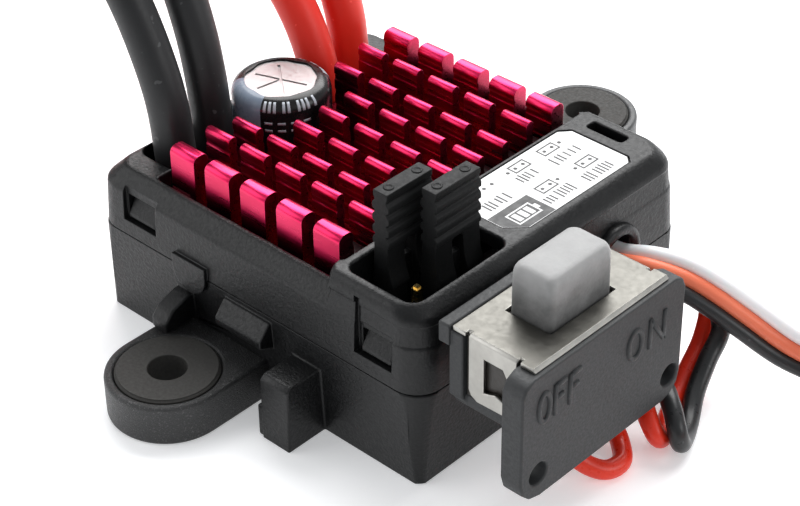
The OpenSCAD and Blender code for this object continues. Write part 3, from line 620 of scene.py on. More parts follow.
board_mat = board()
label_mat = paper("label_print", (0.66, 0.66, 0.66), (0.72, 0.72, 0.72))
ink_mat = paper("label_ink", (0.012, 0.012, 0.013), (0.022, 0.022, 0.023), wear=(0.06, 0.06, 0.06))
block_mat = paper("label_block", (0.016, 0.0163, 0.017), (0.028, 0.0285, 0.0295), wear=(0.07, 0.07, 0.07))
sleeve_mat = sleeve_vinyl("sleeve_black", (0.005, 0.005, 0.0055), (0.009, 0.009, 0.010))
stripe_mat = sleeve_vinyl("sleeve_stripe", (0.17, 0.21, 0.27), (0.26, 0.31, 0.38))
print_mat = paper("sleeve_print", (0.34, 0.37, 0.41), (0.46, 0.49, 0.53), wear=(0.12, 0.13, 0.15))
boot_mat = soft_boot()


# ------------------------------------------------------------------ CAD nodes
for node, mat in {
    "thermal_pad": pad_mat, "circuit_board": board_mat, "power_transistors": chip_mat, "control_chips": chip_mat,
    "capacitor_can": can_mat, "capacitor_sleeve": sleeve_mat, "capacitor_bung": bung_mat, "capacitor_leads": tin_mat,
    "pin_header_base": header_mat, "header_pins": gold_mat, "label": label_mat, "mode_jumper_clip": bronze_mat,
    "battery_jumper_clip": bronze_mat, "switch_base": phenolic_mat, "switch_terminals": tin_mat, "switch_slider": header_mat,
    "battery_plug_contacts": gold_mat, "motor_bullet_black": gold_mat, "motor_bullet_red": gold_mat,
    "motor_sleeve_black": shrink_black, "motor_sleeve_red": shrink_red, "receiver_plug_contacts": gold_mat,
    "lower_case": case_mat, "upper_case": case_mat, "heat_sink": anod_mat, "front_ear": ear_mat, "rear_ear": rear_ear_sheen_mat,
    "front_grommet": grommet_mat, "rear_grommet": grommet_mat, "mode_jumper": jumper_mat, "battery_jumper": jumper_mat,
    "switch_holder": holder_mat, "switch_frame": steel_mat, "switch_boot": boot_mat,
    "battery_wire_black": wire_black, "motor_wire_black": wire_black,
    "battery_wire_red": wire_red, "motor_wire_red": wire_red, "switch_lead_red": lead_red, "switch_lead_black": lead_black,
    "receiver_lead": rib_white, "receiver_hank": rib_white,
}.items():
    dress(node, mat)


soften("lower_case", "controller", 0.18)
soften("front_ear", "front_ear", 0.35)
soften("rear_ear", "rear_ear", 0.35)
soften("front_grommet", "front_ear", 0.12)
soften("rear_grommet", "rear_ear", 0.12)
soften("switch_holder", "controller", 0.2)
soften("switch_frame", "controller", 0.1, seg=3)


# ------------------------------------------------------------------ detailed pieces
def prism(bm, pts, axis, a, b):
    """Closed prism: pts is a polygon in the two other axes (in mm), run along axis from a to b."""
    def place(p, t):
        if axis == "x":
            return Vector((t, p[0], p[1])) * MM
        if axis == "y":
            return Vector((p[0], t, p[1])) * MM
        return Vector((p[0], p[1], t)) * MM
    lo = [bm.verts.new(place(p, a)) for p in pts]
    hi = [bm.verts.new(place(p, b)) for p in pts]
    n = len(pts)
    for k in range(n):
        bm.faces.new((lo[k], lo[(k + 1) % n], hi[(k + 1) % n], hi[k]))
    return bm.faces.new(lo[::-1]), bm.faces.new(hi)


def finish_mesh(bm, name, mats, body, node=None, bevel=None, seg=2, angle=35, smooth=True):
    bmesh.ops.recalc_face_normals(bm, faces=bm.faces)
    me = bpy.data.meshes.new(name)
    bm.to_mesh(me)
    bm.free()
    for m in mats:
        me.materials.append(m)
    if smooth:
        me.shade_smooth()
    o = bpy.data.objects.new(name, me)
    scene.collection.objects.link(o)
    if bevel:
        b = o.modifiers.new("edge", "BEVEL")
        b.width, b.segments, b.limit_method, b.angle_limit = bevel * MM, seg, "ANGLE", math.radians(angle)
        b.use_clamp_overlap = False
        n = o.modifiers.new("normals", "WEIGHTED_NORMAL")
        n.weight, n.keep_sharp = 60, False
    if node:
        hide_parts(*([node] if isinstance(node, str) else node))
    if body:
        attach(o, body)
    return o


def fin_outline(t, top, minus=True, plus=True, arc=0.42):
    """Cross-section of a fin: a rounded head and shallow ridges down one or both sides."""
    h = t / 2
    r = min(h, arc)

    def wall(ridged):
        out = [(h, 11.6)]
        if ridged:
            for k in (2, 1, 0):
                z = top - 1.5 * k
                out += [(h, z - 1.60), (h - 0.05, z - 1.52), (h - 0.09, z - 1.38), (h - 0.09, z - 1.10), (h - 0.05, z - 0.98), (h, z - 0.90)]
        return out

    def head():
        return [(h - r + r * math.cos(a), top - r + r * math.sin(a)) for a in [math.radians(x) for x in (0, 15, 30, 45, 60, 75, 90)]]

    right = wall(plus) + head()
    left = [(-y, z) for y, z in (wall(minus) + head())][::-1]
    if abs(right[-1][0] - left[0][0]) < 1e-6:
        left = left[1:]
    return right + left


def heat_sink():
    bm = bmesh.new()
    # base plate with the round notch for the capacitor
    cx, cy, r = -12.3, 0.1, 4.45
    pts = [(-12.2, -13.9), (8.4, -13.9), (8.4, 13.9), (-12.2, 13.9)]
    a0 = math.acos(max(-1, min(1, (-12.2 - cx) / r)))
    arc = [(cx + r * math.cos(a0 - 2 * a0 * k / 28), cy + r * math.sin(a0 - 2 * a0 * k / 28)) for k in range(29)]
    prism(bm, pts + arc, "z", 10.6, 12.2)
    for c in range(5):
        x = -11.43 + c * 4.05
        for j in range(-4, 5):
            if c == 0 and abs(j) <= 1:
                continue
            fat = abs(j) == 4
            y = (12.45 if j > 0 else -12.45) if fat else j * 2.98
            out = fin_outline(1.6 if fat else 0.9, 17.25 if abs(j) >= 3 else 16.7, minus=(not fat or j > 0), plus=(not fat or j < 0), arc=0.62 if fat else 0.43)
            prism(bm, [(y + a, z) for a, z in out], "x", x, x + 2.8)
    return finish_mesh(bm, "fin_block", [anod_mat], "controller", "heat_sink", bevel=0.05, seg=2, angle=40)


heat_sink()


def cap_sleeve():
    """Printed vinyl sleeve shrunk over the rim of the capacitor, with its lighter polarity stripe."""
    cx, cy = -12.3, 0.1
    n = 120
    prof = [(3.96, 9.5), (4.25, 9.5), (4.25, 10.2), (4.25, 12.0), (4.25, 14.0), (4.25, 15.8), (4.24, 16.3), (4.17, 16.62), (4.03, 16.88), (3.82, 17.1), (3.58, 17.26), (3.3, 17.35), (3.05, 17.36), (3.04, 17.3), (3.4, 17.24), (3.8, 16.98), (3.93, 16.6), (3.96, 16.0)]
    verts, faces, mi = [], [], []
    rnd = random.Random(7)
    lip = [0.07 * math.sin(5 * 2 * math.pi * k / n + 0.7) + 0.05 * math.sin(9 * 2 * math.pi * k / n) + 0.025 * (rnd.random() - 0.5) for k in range(n)]
    for k in range(n):
        a = 2 * math.pi * k / n
        for i, (rr, z) in enumerate(prof):
            if i in (12, 13):
                rr += lip[k]
            elif i in (11, 14):
                rr += lip[k] * 0.4
            verts.append(((cx + rr * math.cos(a)) * MM, (cy + rr * math.sin(a)) * MM, z * MM))
    m = len(prof)
    for k in range(n):
        k2 = (k + 1) % n
        deg = (360.0 * (k + 0.5) / n + 180) % 360 - 180
        for i in range(m):
            i2 = (i + 1) % m
            faces.append((k * m + i, k2 * m + i, k2 * m + i2, k * m + i2))
            mi.append(1 if -137 < deg < -69 and 1 <= i <= 11 else 0)
    o = make("capacitor_wrap", verts, faces, [sleeve_mat, stripe_mat], mi, angle=60)
    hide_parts("capacitor_sleeve")
    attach(o, "controller")

    # generic printed marks: minus signs down the stripe, short bars round the rim and the side
    bm = bmesh.new()

    def patch(a0, a1, z0, z1, r=4.262, steps=6):
        prev = None
        for s in range(steps + 1):
            a = math.radians(a0 + (a1 - a0) * s / steps)
            p = [bm.verts.new(((cx + q * math.cos(a)) * MM, (cy + q * math.sin(a)) * MM, z * MM)) for q, z in ((r, z0), (r, z1), (r - 0.01, z1), (r - 0.01, z0))]
            if prev:
                for i in range(4):
                    j = (i + 1) % 4
                    bm.faces.new((prev[i], p[i], p[j], prev[j]))
            else:
                bm.faces.new(p)
            prev = p
        bm.faces.new(prev[::-1])

    def rim(a0, a1, t0, t1, steps=4):
        """the same, over the rolled rim: t runs from 0 at the side to 1 on the flat"""
        line = [(4.25, 15.8), (4.24, 16.3), (4.17, 16.62), (4.03, 16.88), (3.82, 17.1), (3.58, 17.26)]
        grid = []
        for s in range(steps + 1):
            a = math.radians(a0 + (a1 - a0) * s / steps)
            row = []
            for q in range(5):
                f = (t0 + (t1 - t0) * q / 4) * 5
                i = min(4, int(f))
                rr = line[i][0] + (line[i + 1][0] - line[i][0]) * (f - i)
                zz = line[i][1] + (line[i + 1][1] - line[i][1]) * (f - i)
                n = Vector((line[i + 1][1] - line[i][1], line[i][0] - line[i + 1][0])).normalized()
                for k, off in ((0, 0.022), (1, -0.02)):
                    row.append(bm.verts.new(((cx + (rr + n.x * off) * math.cos(a)) * MM, (cy + (rr + n.x * off) * math.sin(a)) * MM, (zz + n.y * off) * MM)))
            grid.append([row[0::2], row[1::2]])
        for s in range(steps):
            for q in range(4):
                bm.faces.new((grid[s][0][q], grid[s + 1][0][q], grid[s + 1][0][q + 1], grid[s][0][q + 1]))
                bm.faces.new((grid[s][1][q], grid[s][1][q + 1], grid[s + 1][1][q + 1], grid[s + 1][1][q]))
            for q in (0, 4):
                bm.faces.new((grid[s][0][q], grid[s][1][q], grid[s + 1][1][q], grid[s + 1][0][q]))
        for s in (0, steps):
            for q in range(4):
                bm.faces.new((grid[s][0][q], grid[s][0][q + 1], grid[s][1][q + 1], grid[s][1][q]))

    patch(-110, -96, 13.2, 13.5)
    for a0 in (-66, -60, -54, -43, -37, -25, -19, -13, -3, 60, 66, 72, 84, 90, 102, 108):
        rim(a0, a0 + 3.4, 0.28, 0.92)
    for a0, z0 in ((-64, 15.3), (-49, 15.3), (-34, 15.3), (-19, 15.3), (-64, 14.6), (-49, 14.6), (-34, 14.6)):
        patch(a0, a0 + 9, z0, z0 + 0.24)
    finish_mesh(bm, "capacitor_marks", [print_mat], "controller")


cap_sleeve()


def grip(name, node, body, cx, cy):
    """Pull-tab jumper: a ribbed handle on two feet that curve out over the header."""
    top = 22.1

    def ribbed(sign):
        out = []
        for k in range(4):
            z = 17.3 + 1.06 * k
            out += [(0.86, z), (0.86, z + 0.42), (0.80, z + 0.56), (0.62, z + 0.72), (0.60, z + 0.92)]
        out += [(0.72, 21.6), (0.72, top)]
        return [(sign * a, z) for a, z in out]

    bm = bmesh.new()
    prism(bm, ribbed(1) + ribbed(-1)[::-1], "y", -2.5, 2.5)
    # feet
    leg = [(-0.7, 17.45), (-0.72, 16.2), (-0.78, 15.2), (-0.85, 14.2), (-0.9, 13.4), (-0.9, 10.4), (0.9, 10.4), (0.9, 13.7), (1.2, 13.7), (1.22, 13.95), (1.08, 14.3), (0.92, 14.8), (0.80, 15.4), (0.72, 16.2), (0.70, 17.45)]
    for y0, y1 in ((-2.5, -0.62), (0.62, 2.5)):
        prism(bm, leg, "y", y0, y1)
    # bridge below the handle with an arched underside
    arch = [(-0.7, 17.45)] + [(-0.7 + 1.4 * k / 12, 16.75 + 0.5 * math.sin(math.pi * k / 12)) for k in range(13)] + [(0.7, 17.45)]
    prism(bm, [(a * 1.0, z) for a, z in arch], "x", -0.66, 0.66)
    # painted shade: a dark recessed web fills the gap between the feet, standing in for the shade there
    prism(bm, [(-0.7, 10.4), (0.7, 10.4), (0.7, 15.4), (-0.7, 15.4)], "x", -0.3, 0.3)
    for v in bm.verts:
        v.co += Vector((cx, cy, 0)) * MM
    o = finish_mesh(bm, name, [jumper_mat], body, node, bevel=0.08, seg=2, angle=35)
    # gate marks: two shallow cups in the top
    bm = bmesh.new()
    for s in (-1, 1):
        n = 20
        rings = []
        for rr, z in ((0.42, top - 0.02), (0.42, top + 0.05), (0.30, top + 0.07), (0.24, top + 0.0), (0.0, top - 0.01)):
            if rr:
                rings.append([bm.verts.new(((cx + rr * math.cos(2 * math.pi * k / n)) * MM, (cy + s * 1.55 + rr * math.sin(2 * math.pi * k / n)) * MM, z * MM)) for k in range(n)])
            else:
                c = bm.verts.new((cx * MM, (cy + s * 1.55) * MM, z * MM))
                for k in range(n):
                    bm.faces.new((rings[-1][k], rings[-1][(k + 1) % n], c))
        for ra, rb in zip(rings, rings[1:]):
            for k in range(n):
                bm.faces.new((ra[k], ra[(k + 1) % n], rb[(k + 1) % n], rb[k]))
        bm.faces.new(rings[0][::-1])
    finish_mesh(bm, name + "_gates", [jumper_mat], body)
    return o


grip("mode_grip", "mode_jumper", "mode_jumper", 10.6, -9.37)
grip("battery_grip", "battery_jumper", "battery_jumper", 13.14, -6.83)


def boot():
    """Soft cap over the slider: a crowned block with full corners and a thin skirt under the plate."""
    def ring(lx, ly, r, z, n=10):
        out = []
        for sx, sy, a0 in ((1, 1, 0), (-1, 1, 90), (-1, -1, 180), (1, -1, 270)):
            for k in range(n + 1):
                a = math.radians(a0 + 90 * k / n)
                out.append(Vector((24.15 + sx * (lx / 2 - r) + r * math.cos(a), -7.1 + sy * (ly / 2 - r) + r * math.sin(a), z)) * MM)
        return out

    rows = [(3.93, 7.06, 0.55, 16.06), (3.95, 7.1, 0.55, 16.5), (3.95, 7.1, 0.56, 18.0), (3.93, 7.08, 0.58, 19.4), (3.90, 7.04, 0.62, 20.0), (3.80, 6.94, 0.68, 20.3), (3.60, 6.74, 0.72, 20.52), (3.25, 6.38, 0.75, 20.66), (2.6, 5.7, 0.75, 20.74), (1.7, 4.6, 0.7, 20.78), (0.9, 3.6, 0.4, 20.79)]
    verts, faces = [], []
    m = 44
    for lx, ly, r, z in rows:
        verts += ring(lx, ly, r, z)
    for i in range(len(rows) - 1):
        for k in range(m):
            k2 = (k + 1) % m
            faces.append((i * m + k, i * m + k2, (i + 1) * m + k2, (i + 1) * m + k))
    faces.append(tuple((len(rows) - 1) * m + k for k in range(m)))
    # the inside, open below
    base = len(verts)
    inner = [(2.8, 5.6, 0.3, 16.06), (2.8, 5.6, 0.3, 19.9), (2.4, 5.2, 0.3, 20.0)]
    for lx, ly, r, z in inner:
        verts += ring(lx, ly, r, z)
    for i in range(2):
        for k in range(m):
            k2 = (k + 1) % m
            faces.append((base + i * m + k, base + (i + 1) * m + k, base + (i + 1) * m + k2, base + i * m + k2))
    faces.append(tuple(base + 2 * m + k for k in range(m - 1, -1, -1)))
    for k in range(m):
        k2 = (k + 1) % m
        faces.append((k, base + k, base + k2, k2))
    o = make("switch_cap", verts, faces, [boot_mat], angle=70)
    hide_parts("switch_boot")
    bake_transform(o)
    return o


boot()


# ------------------------------------------------------------------ printed and moulded marks
def flat_marks(name, mat, shapes, z0, z1, bevel=None):
    bm = bmesh.new()
    for pts in shapes:
        prism(bm, pts, "z", z0, z1)
    return finish_mesh(bm, name, [mat], "controller", smooth=False)


def bar(x0, y0, x1, y1):
    return [(x0, y0), (x1, y0), (x1, y1), (x0, y1)]


def disc(x, y, r, n=14):
    return [(x + r * math.cos(2 * math.pi * k / n), y + r * math.sin(2 * math.pi * k / n)) for k in range(n)]


def label_marks():
    ink = []
    t = 0.14

    def frame_box(x0, y0, x1, y1):
        return [bar(x0, y0, x1, y0 + t), bar(x0, y1 - t, x1, y1), bar(x0, y0 + t, x0 + t, y1 - t), bar(x1 - t, y0 + t, x1, y1 - t)]

    for x, y, extra in ((10.2, 8.1, 1), (10.1, 4.65, -1), (13.55, 3.9, 1), (13.6, 8.8, -1)):
        ink += frame_box(x - 0.55, y - 0.95, x + 0.55, y + 0.95)
        ink += [disc(x, y - 0.46, 0.17), disc(x, y + 0.46, 0.17), disc(x, y + extra * 1.38, 0.17)]
    ink += [disc(10.15, 0.35, 0.17), disc(10.15, 1.27, 0.17)]
    # rows of plain tick marks where the lettering was
    rnd = random.Random(11)
    for x, y0, y1 in ((12.1, -1.6, 1.7), (11.45, 3.1, 5.5), (11.75, 6.9, 10.5), (14.95, 2.3, 5.6), (15.15, 6.8, 10.3)):
        y = y0
        while y < y1 - 0.3:
            w = rnd.choice((0.38, 0.38, 0.62))
            h = rnd.choice((0.9, 1.2, 1.05))
            ink.append(bar(x - h / 2, y, x + h / 2, y + 0.16))
            y += w
    flat_marks("label_ticks", ink_mat, ink, 16.135, 16.152)
    flat_marks("label_block", block_mat, [[(13.15, -1.5), (13.15, 1.95), (16.15, 1.95), (16.15, -1.22), (14.72, -2.65), (13.15, -2.65)]], 16.135, 16.15)
    # battery symbol in the block
    flat_marks("label_symbol", label_mat, [bar(13.9, -1.5, 14.05, 1.2), bar(15.35, -1.5, 15.5, 1.2), bar(14.05, -1.5, 15.35, -1.35), bar(14.05, 1.05, 15.35, 1.2), bar(14.4, 1.2, 15.0, 1.5), bar(14.2, -1.15, 15.2, -0.65), bar(14.2, -0.45, 15.2, 0.05), bar(14.2, 0.25, 15.2, 0.75)], 16.148, 16.158)


label_marks()


def stroke(bm, pts, w, h, x):
    """A raised rounded bead on the front plate: pts are (y, z) in mm."""
    P = [Vector((x, p[0], p[1])) * MM for p in pts]
    prof = [(-w / 2, -0.05), (-w / 2, 0.0), (-w * 0.40, h * 0.7), (-w * 0.2, h), (w * 0.2, h), (w * 0.40, h * 0.7), (w / 2, 0.0), (w / 2, -0.05)]
    closed = (P[0] - P[-1]).length < 1e-7
    if closed:
        P = P[:-1]
    n = len(P)
    rings = []
    for i, p in enumerate(P):
        a = P[(i - 1) % n] if closed or i else P[i]
        b = P[(i + 1) % n] if closed or i < n - 1 else P[i]
        t = (b - a).normalized()
        s = Vector((1, 0, 0)).cross(t).normalized()
        q = p
        rings.append([bm.verts.new(q + s * (u * MM) + Vector((v * MM, 0, 0))) for u, v in prof])
    m = len(prof)
    for i in range(n if closed else n - 1):
        j = (i + 1) % n
        for k in range(m):
            k2 = (k + 1) % m
            bm.faces.new((rings[i][k], rings[j][k], rings[j][k2], rings[i][k2]))
    if not closed:
        bm.faces.new(rings[0][::-1])
        bm.faces.new(rings[-1])


def switch_words():
    """The two switch positions, as plain raised strokes."""
    bm = bmesh.new()

    def oval(yc, zc, a, b, lean=0.0):
        return [(yc + a * math.cos(2 * math.pi * k / 28) + lean * b * math.sin(2 * math.pi * k / 28), zc + b * math.sin(2 * math.pi * k / 28)) for k in range(29)]

    w, h, x = 0.46, 0.17, 28.6
    z0, z1 = 11.7, 14.4
    zc = (z0 + z1) / 2
    # off
    stroke(bm, oval(-14.1, zc, 0.6, 1.25), w, h, x)
    for y in (-12.9, -11.25):
        stroke(bm, [(y, z0), (y, zc), (y, z1)], w, h, x)
        stroke(bm, [(y + 0.1, z1 - 0.1), (y + 0.65, z1 - 0.1), (y + 1.15, z1 - 0.1)], w, h, x)
        stroke(bm, [(y + 0.1, zc + 0.1), (y + 0.5, zc + 0.1), (y + 0.9, zc + 0.1)], w, h, x)
    # on
    z0, z1 = 11.35, 14.0
    zc = (z0 + z1) / 2
    stroke(bm, oval(-3.72, zc, 0.78, 1.25), w, h, x)
    stroke(bm, [(-1.95, z0), (-1.95, zc), (-1.95, z1)], w, h, x)
    stroke(bm, [(-1.95, z1 - 0.05), (-1.1, zc), (-0.25, z0 + 0.05)], w, h, x)
    stroke(bm, [(-0.25, z0), (-0.25, zc), (-0.25, z1)], w, h, x)
    finish_mesh(bm, "switch_marks", [holder_mat], "controller")


switch_words()


# ------------------------------------------------------------------ upper case
def ring_solid(rows, n=12):
    """A closed solid from rounded rectangles (z, x0, x1, y0, y1, r) stacked upwards, as a bmesh."""
    bm = bmesh.new()
    rings = []
    for z, x0, x1, y0, y1, r in rows:
        ring = []
        for cx, cy, a0 in ((x1 - r, y1 - r, 0), (x0 + r, y1 - r, 90), (x0 + r, y0 + r, 180), (x1 - r, y0 + r, 270)):
            for k in range(n + 1):
                a = math.radians(a0 + 90 * k / n)
                ring.append(bm.verts.new(Vector((cx + r * math.cos(a), cy + r * math.sin(a), z)) * MM))
        rings.append(ring)
    m = len(rings[0])
    for ra, rb in zip(rings, rings[1:]):
        for k in range(m):
            bm.faces.new((ra[k], ra[(k + 1) % m], rb[(k + 1) % m], rb[k]))
    bm.faces.new(rings[0][::-1])
    bm.faces.new(rings[-1])
    return bm


def temp(bm, name="tmp"):
    bmesh.ops.recalc_face_normals(bm, faces=bm.faces)
    me = bpy.data.meshes.new(name)
    bm.to_mesh(me)
    bm.free()
    o = bpy.data.objects.new(name, me)
    scene.collection.objects.link(o)
    return o


def cut(o, others, op="DIFFERENCE"):
    """Exact booleans, applied one after another."""
    for t in others:
        m = o.modifiers.new("b", "BOOLEAN")
        m.object, m.operation, m.solver = t, op, "EXACT"
    dg = bpy.context.evaluated_depsgraph_get()
    dg.update()
    me = bpy.data.meshes.new_from_object(o.evaluated_get(dg))
    o.modifiers.clear()
    old = o.data
    o.data = me
    bpy.data.meshes.remove(old)
    for t in others:
        bpy.data.objects.remove(t)
    return o


def block(x0, x1, y0, y1, z0, z1, r=None, r2=None):
    if r is None:
        bm = bmesh.new()
        prism(bm, [(x0, y0), (x1, y0), (x1, y1), (x0, y1)], "z", z0, z1)
        return temp(bm)
    return temp(ring_solid([(z0, x0, x1, y0, y1, r), (z1, x0, x1, y0, y1, r)]))


def bowl(x0, x1, y0, y1, r, z0, z1, flare):
    """A cutter with a flared mouth, so that the edge of the opening is rounded."""
    rows = [(z0, x0, x1, y0, y1, r)]
    for k in range(6):
        a = math.radians(90 * k / 5)
        g = flare * (1 - math.cos(a))
        rows.append((z1 - flare + flare * math.sin(a), x0 - g, x1 + g, y0 - g, y1 + g, r + g))
    g = flare * 1.0
    rows.append((z1 + 2, x0 - g, x1 + g, y0 - g, y1 + g, r + g))
    return temp(ring_solid(rows))


def along(pts, axis, a, b):
    bm = bmesh.new()
    prism(bm, pts, axis, a, b)
    return temp(bm)


def upper():
    hl, hw = 18.25, 16.0

    def rows(spec, x0=-hl):
        return [(z, x0 + i, hl - i, -hw + i, hw - i, r) for z, i, r in spec]

    frame_rows = rows([(8.66, 0.10, 2.4), (8.74, 0.02, 2.4), (8.84, 0.0, 2.4), (10.5, 0.07, 2.4), (12.55, 0.17, 2.35), (12.8, 0.22, 2.3), (12.98, 0.34, 2.25), (13.2, 0.54, 2.2), (13.85, 1.17, 1.9), (14.02, 1.33, 1.8), (14.13, 1.48, 1.7), (14.18, 1.62, 1.6), (14.2, 1.8, 1.5)])
    body = temp(ring_solid(frame_rows), "upper_shell")
    d = [(8.66, 8.5, hl - 0.1, -hw + 0.1, hw - 0.1, 2.4), (8.74, 8.5, hl - 0.02, -hw + 0.02, hw - 0.02, 2.4), (8.84, 8.5, hl, -hw, hw, 2.4),
         (12.8, 8.5, hl - 0.25, -hw + 0.25, hw - 0.22, 2.4), (14.5, 8.5, hl - 0.36, -hw + 0.36, hw - 0.32, 2.4),
         (14.62, 8.5, hl - 0.36, -hw + 0.36, hw - 0.34, 2.4), (14.7, 8.5, hl - 0.30, -hw + 0.20, hw - 0.36, 2.45), (14.95, 8.5, hl - 0.36, -hw + 0.18, hw - 0.42, 2.45),
         (15.25, 8.5, hl - 0.52, -hw + 0.22, hw - 0.55, 2.4), (15.55, 8.5, hl - 0.80, -hw + 0.30, hw - 0.74, 2.35), (15.8, 8.5, hl - 1.06, -hw + 0.42, hw - 0.92, 2.3),
         (15.98, 8.5, hl - 1.27, -hw + 0.58, hw - 1.08, 2.2), (16.1, 8.5, hl - 1.45, -hw + 0.76, hw - 1.24, 2.1), (16.17, 8.5, hl - 1.62, -hw + 0.95, hw - 1.42, 2.0), (16.2, 8.5, hl - 1.85, -hw + 1.2, hw - 1.65, 1.9)]
    n = 12
    bm = bmesh.new()
    rings = []
    for z, x0, x1, y0, y1, r in d:
        ring = [(x0, y1 - 0.0), (x0, y0 + 0.0)]
        ring = []
        for k in range(n + 1):
            a = math.radians(270 + 90 * k / n)
            ring.append((x1 - r + r * math.cos(a), y0 + r + r * math.sin(a)))
        for k in range(n + 1):
            a = math.radians(90 * k / n)
            ring.append((x1 - r + r * math.cos(a), y1 - r + r * math.sin(a)))
        q = 0.5 if z > 14.3 else 0.05
        ring += [(x0 + q, y1), (x0, y1 - q), (x0, y0 + q), (x0 + q, y0)]
        rings.append([bm.verts.new(Vector((x, y, z)) * MM) for x, y in ring])
    m = len(rings[0])
    for ra, rb in zip(rings, rings[1:]):
        for k in range(m):
            bm.faces.new((ra[k], ra[(k + 1) % m], rb[(k + 1) % m], rb[k]))
    bm.faces.new(rings[0][::-1])
    bm.faces.new(rings[-1])
    deck = temp(bm)
    body = cut(body, [deck], "UNION")
    cuts = [
        block(-17.05, 17.05, -14.75, 14.75, 7.6, 12.9, 1.25),
        block(9.5, 16.6, -14.4, 14.4, 12.0, 15.0),
        bowl(-12.4, 8.5, -14.0, 14.0, 0.35, 12.0, 14.2, 0.25),
        bowl(-16.65, -11.9, -12.3, 12.7, 1.1, 12.0, 14.2, 0.25),
        bowl(9.4, 16.4, -14.5, -3.9, 0.95, 12.0, 16.2, 0.3),
        bowl(10.3, 14.0, 12.75, 13.85, 0.35, 14.0, 16.2, 0.15),
        block(16.0, 19.3, 4.9, 9.0, 7.0, 11.6),
    ]
    for s in (-1, 1):
        y = s * hw

        def yb(a, b):
            lo, hi = sorted((y + s * a, y + s * b))
            return lo, hi
        cuts += [block(-14.7, -10.8, *yb(-0.55, 1), 10.1, 13.6), block(-14.5, -11.0, *yb(-1.9, 1), 10.1, 12.5),
                 block(11.8, 15.4, *yb(-0.55, 1), 10.1, 13.2), block(11.9, 15.2, *yb(-1.9, 1), 10.1, 12.5)]
    cuts.append(block(11.5, 12.1, -17, -15.3, 10.1, 15.3))
    pts = [(9.1, 0.3), (9.1, 10.6), (9.9, 11.5), (15.6, 11.5), (16.2, 10.9), (16.2, -1.2), (14.7, -2.7), (12, -2.7)]
    cuts.append(along([(x + (0.12 if x > 12.5 else -0.12), y + (0.12 if y > 4 else -0.12)) for x, y in pts], "z", 15.98, 18))
    body = cut(body, cuts)
    # ribs between the fins, boss round the lead, tabs over the parting line
    adds = []
    for k in (-3.5, -2.5, -1.5, -0.5, 0.5, 1.5, 2.5, 3.5):
        y = k * 2.98
        adds.append(along([(5.1, 13.0), (5.1, 14.05), (5.25, 14.2), (8.75, 14.2), (8.75, 13.0)], "y", y - 0.75, y + 0.75))
    for s in (-1, 1):
        prof = [(-8.55, 9.85), (-8.55, 8.75)] + [(-6.65 + 1.9 * math.cos(math.radians(180 + 15 * k)), 8.75 + 1.9 * math.sin(math.radians(180 + 15 * k))) for k in range(1, 12)] + [(-4.75, 8.75), (-4.75, 9.85)]
        prof = [(x, max(z, 6.9)) for x, z in prof]
        a, b = sorted((s * (hw + 0.33), s * (hw - 0.3)))
        adds.append(along(prof, "y", a, b))
    o = body
    o.name = "upper_shell"
    o.data.name = "upper_shell"
    for t in adds:
        t.data.materials.append(case_mat)
    me = o.data
    me.materials.clear()
    me.materials.append(case_mat)
    bm = bmesh.new()
    bm.from_mesh(me)
    bmesh.ops.remove_doubles(bm, verts=bm.verts, dist=1e-6)
    for t in adds:
        bm2 = bmesh.new()
        bm2.from_mesh(t.data)
        tmp = bpy.data.meshes.new("t")
        bm2.to_mesh(tmp)
        bm2.free()
        bm.from_mesh(tmp)
        bpy.data.meshes.remove(tmp)
        bpy.data.objects.remove(t)
    for f in bm.faces:
        f.material_index = 0
    bm.to_mesh(me)
    bm.free()
    me.shade_smooth()
    me.set_sharp_from_angle(angle=math.radians(32))
    n = o.modifiers.new("normals", "WEIGHTED_NORMAL")
    n.weight, n.keep_sharp = 50, True
    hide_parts("upper_case")
    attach(o, "controller")
    # boss where the leads come out
    bm = bmesh.new()
    n, rings = 28, []
    for x, r in ((17.3, 2.9), (18.45, 2.9), (18.62, 2.84), (18.74, 2.72), (18.8, 2.5), (18.8, 2.15)):
        rings.append([bm.verts.new(Vector((x, 7 + r * math.cos(math.pi * k / n), 10.0 - 1.3 * 0 + r * math.sin(math.pi * k / n))) * MM) for k in range(n + 1)])
    for ra, rb in zip(rings, rings[1:]):
        for k in range(n):
            bm.faces.new((ra[k], ra[k + 1], rb[k + 1], rb[k]))
    back = [bm.verts.new(Vector((17.3, 7 + 2.15 * math.cos(math.pi * k / n), 10.0 + 2.15 * math.sin(math.pi * k / n))) * MM) for k in range(n + 1)]
    for k in range(n):
        bm.faces.new((rings[-1][k], rings[-1][k + 1], back[k + 1], back[k]))
        bm.faces.new((back[k], back[k + 1], rings[0][k + 1], rings[0][k]))
    for i, j in ((0, 0), (n, n)):
        bm.faces.new([r[i] for r in rings] + [back[i]])
    finish_mesh(bm, "lead_boss", [case_mat], "controller")
    return o


upper()


# ------------------------------------------------------------------ floor and light
def floor():
    k = Mat("floor")
    n = k.noise(3.0, 3, 0.5)
    k.color(k.mix(k.ramp(n, [(0.3, 0), (0.7, 1)]), (0.86, 0.86, 0.865), (0.88, 0.88, 0.885)))
    k.rough(k.noise(400, 2, 0.5), 0.5, 0.6)
    k.b.inputs["Emission Color"].default_value = (0.98, 0.99, 1.0, 1)
    k.b.inputs["Emission Strength"].default_value = 0.32
    o = make("floor", [(-3, -3, 0), (3, -3, 0), (3, 3, 0), (-3, 3, 0)], [(0, 1, 2, 3)], [k.m], smooth=False)


floor()


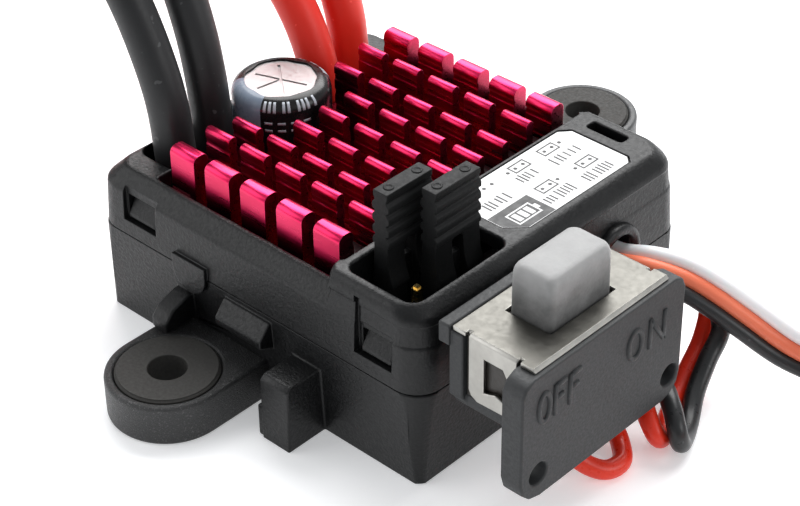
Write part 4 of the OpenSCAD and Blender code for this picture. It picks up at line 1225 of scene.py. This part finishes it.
def softbox(name, direction, dist, size, watts, target=(0, 0, 0.012), color=(1, 1, 1)):
    d = Vector(direction).normalized()
    li = bpy.data.lights.new(name, "AREA")
    li.shape, li.size, li.size_y = "RECTANGLE", size[0], size[1]
    li.energy, li.color = watts, color
    o = bpy.data.objects.new(name, li)
    scene.collection.objects.link(o)
    o.location = Vector(target) + d * dist
    o.rotation_euler = (-d).to_track_quat("-Z", "Y").to_euler()
    return o


softbox("top_back", (-0.35, 0.62, 0.80), 0.7, (0.8, 0.6), 9.5)
softbox("left_front", (-0.75, -0.62, 0.5), 0.7, (0.6, 0.5), 1.8)
softbox("right_low", (0.9, 0.25, 0.45), 0.9, (0.5, 0.4), 2.0)

world = bpy.data.worlds.new("studio")
world.use_nodes = True
world.node_tree.nodes["Background"].inputs[0].default_value = (0.95, 0.97, 1.0, 1)
world.node_tree.nodes["Background"].inputs[1].default_value = 0.5
scene.world = world
scene.view_settings.view_transform = "Standard"
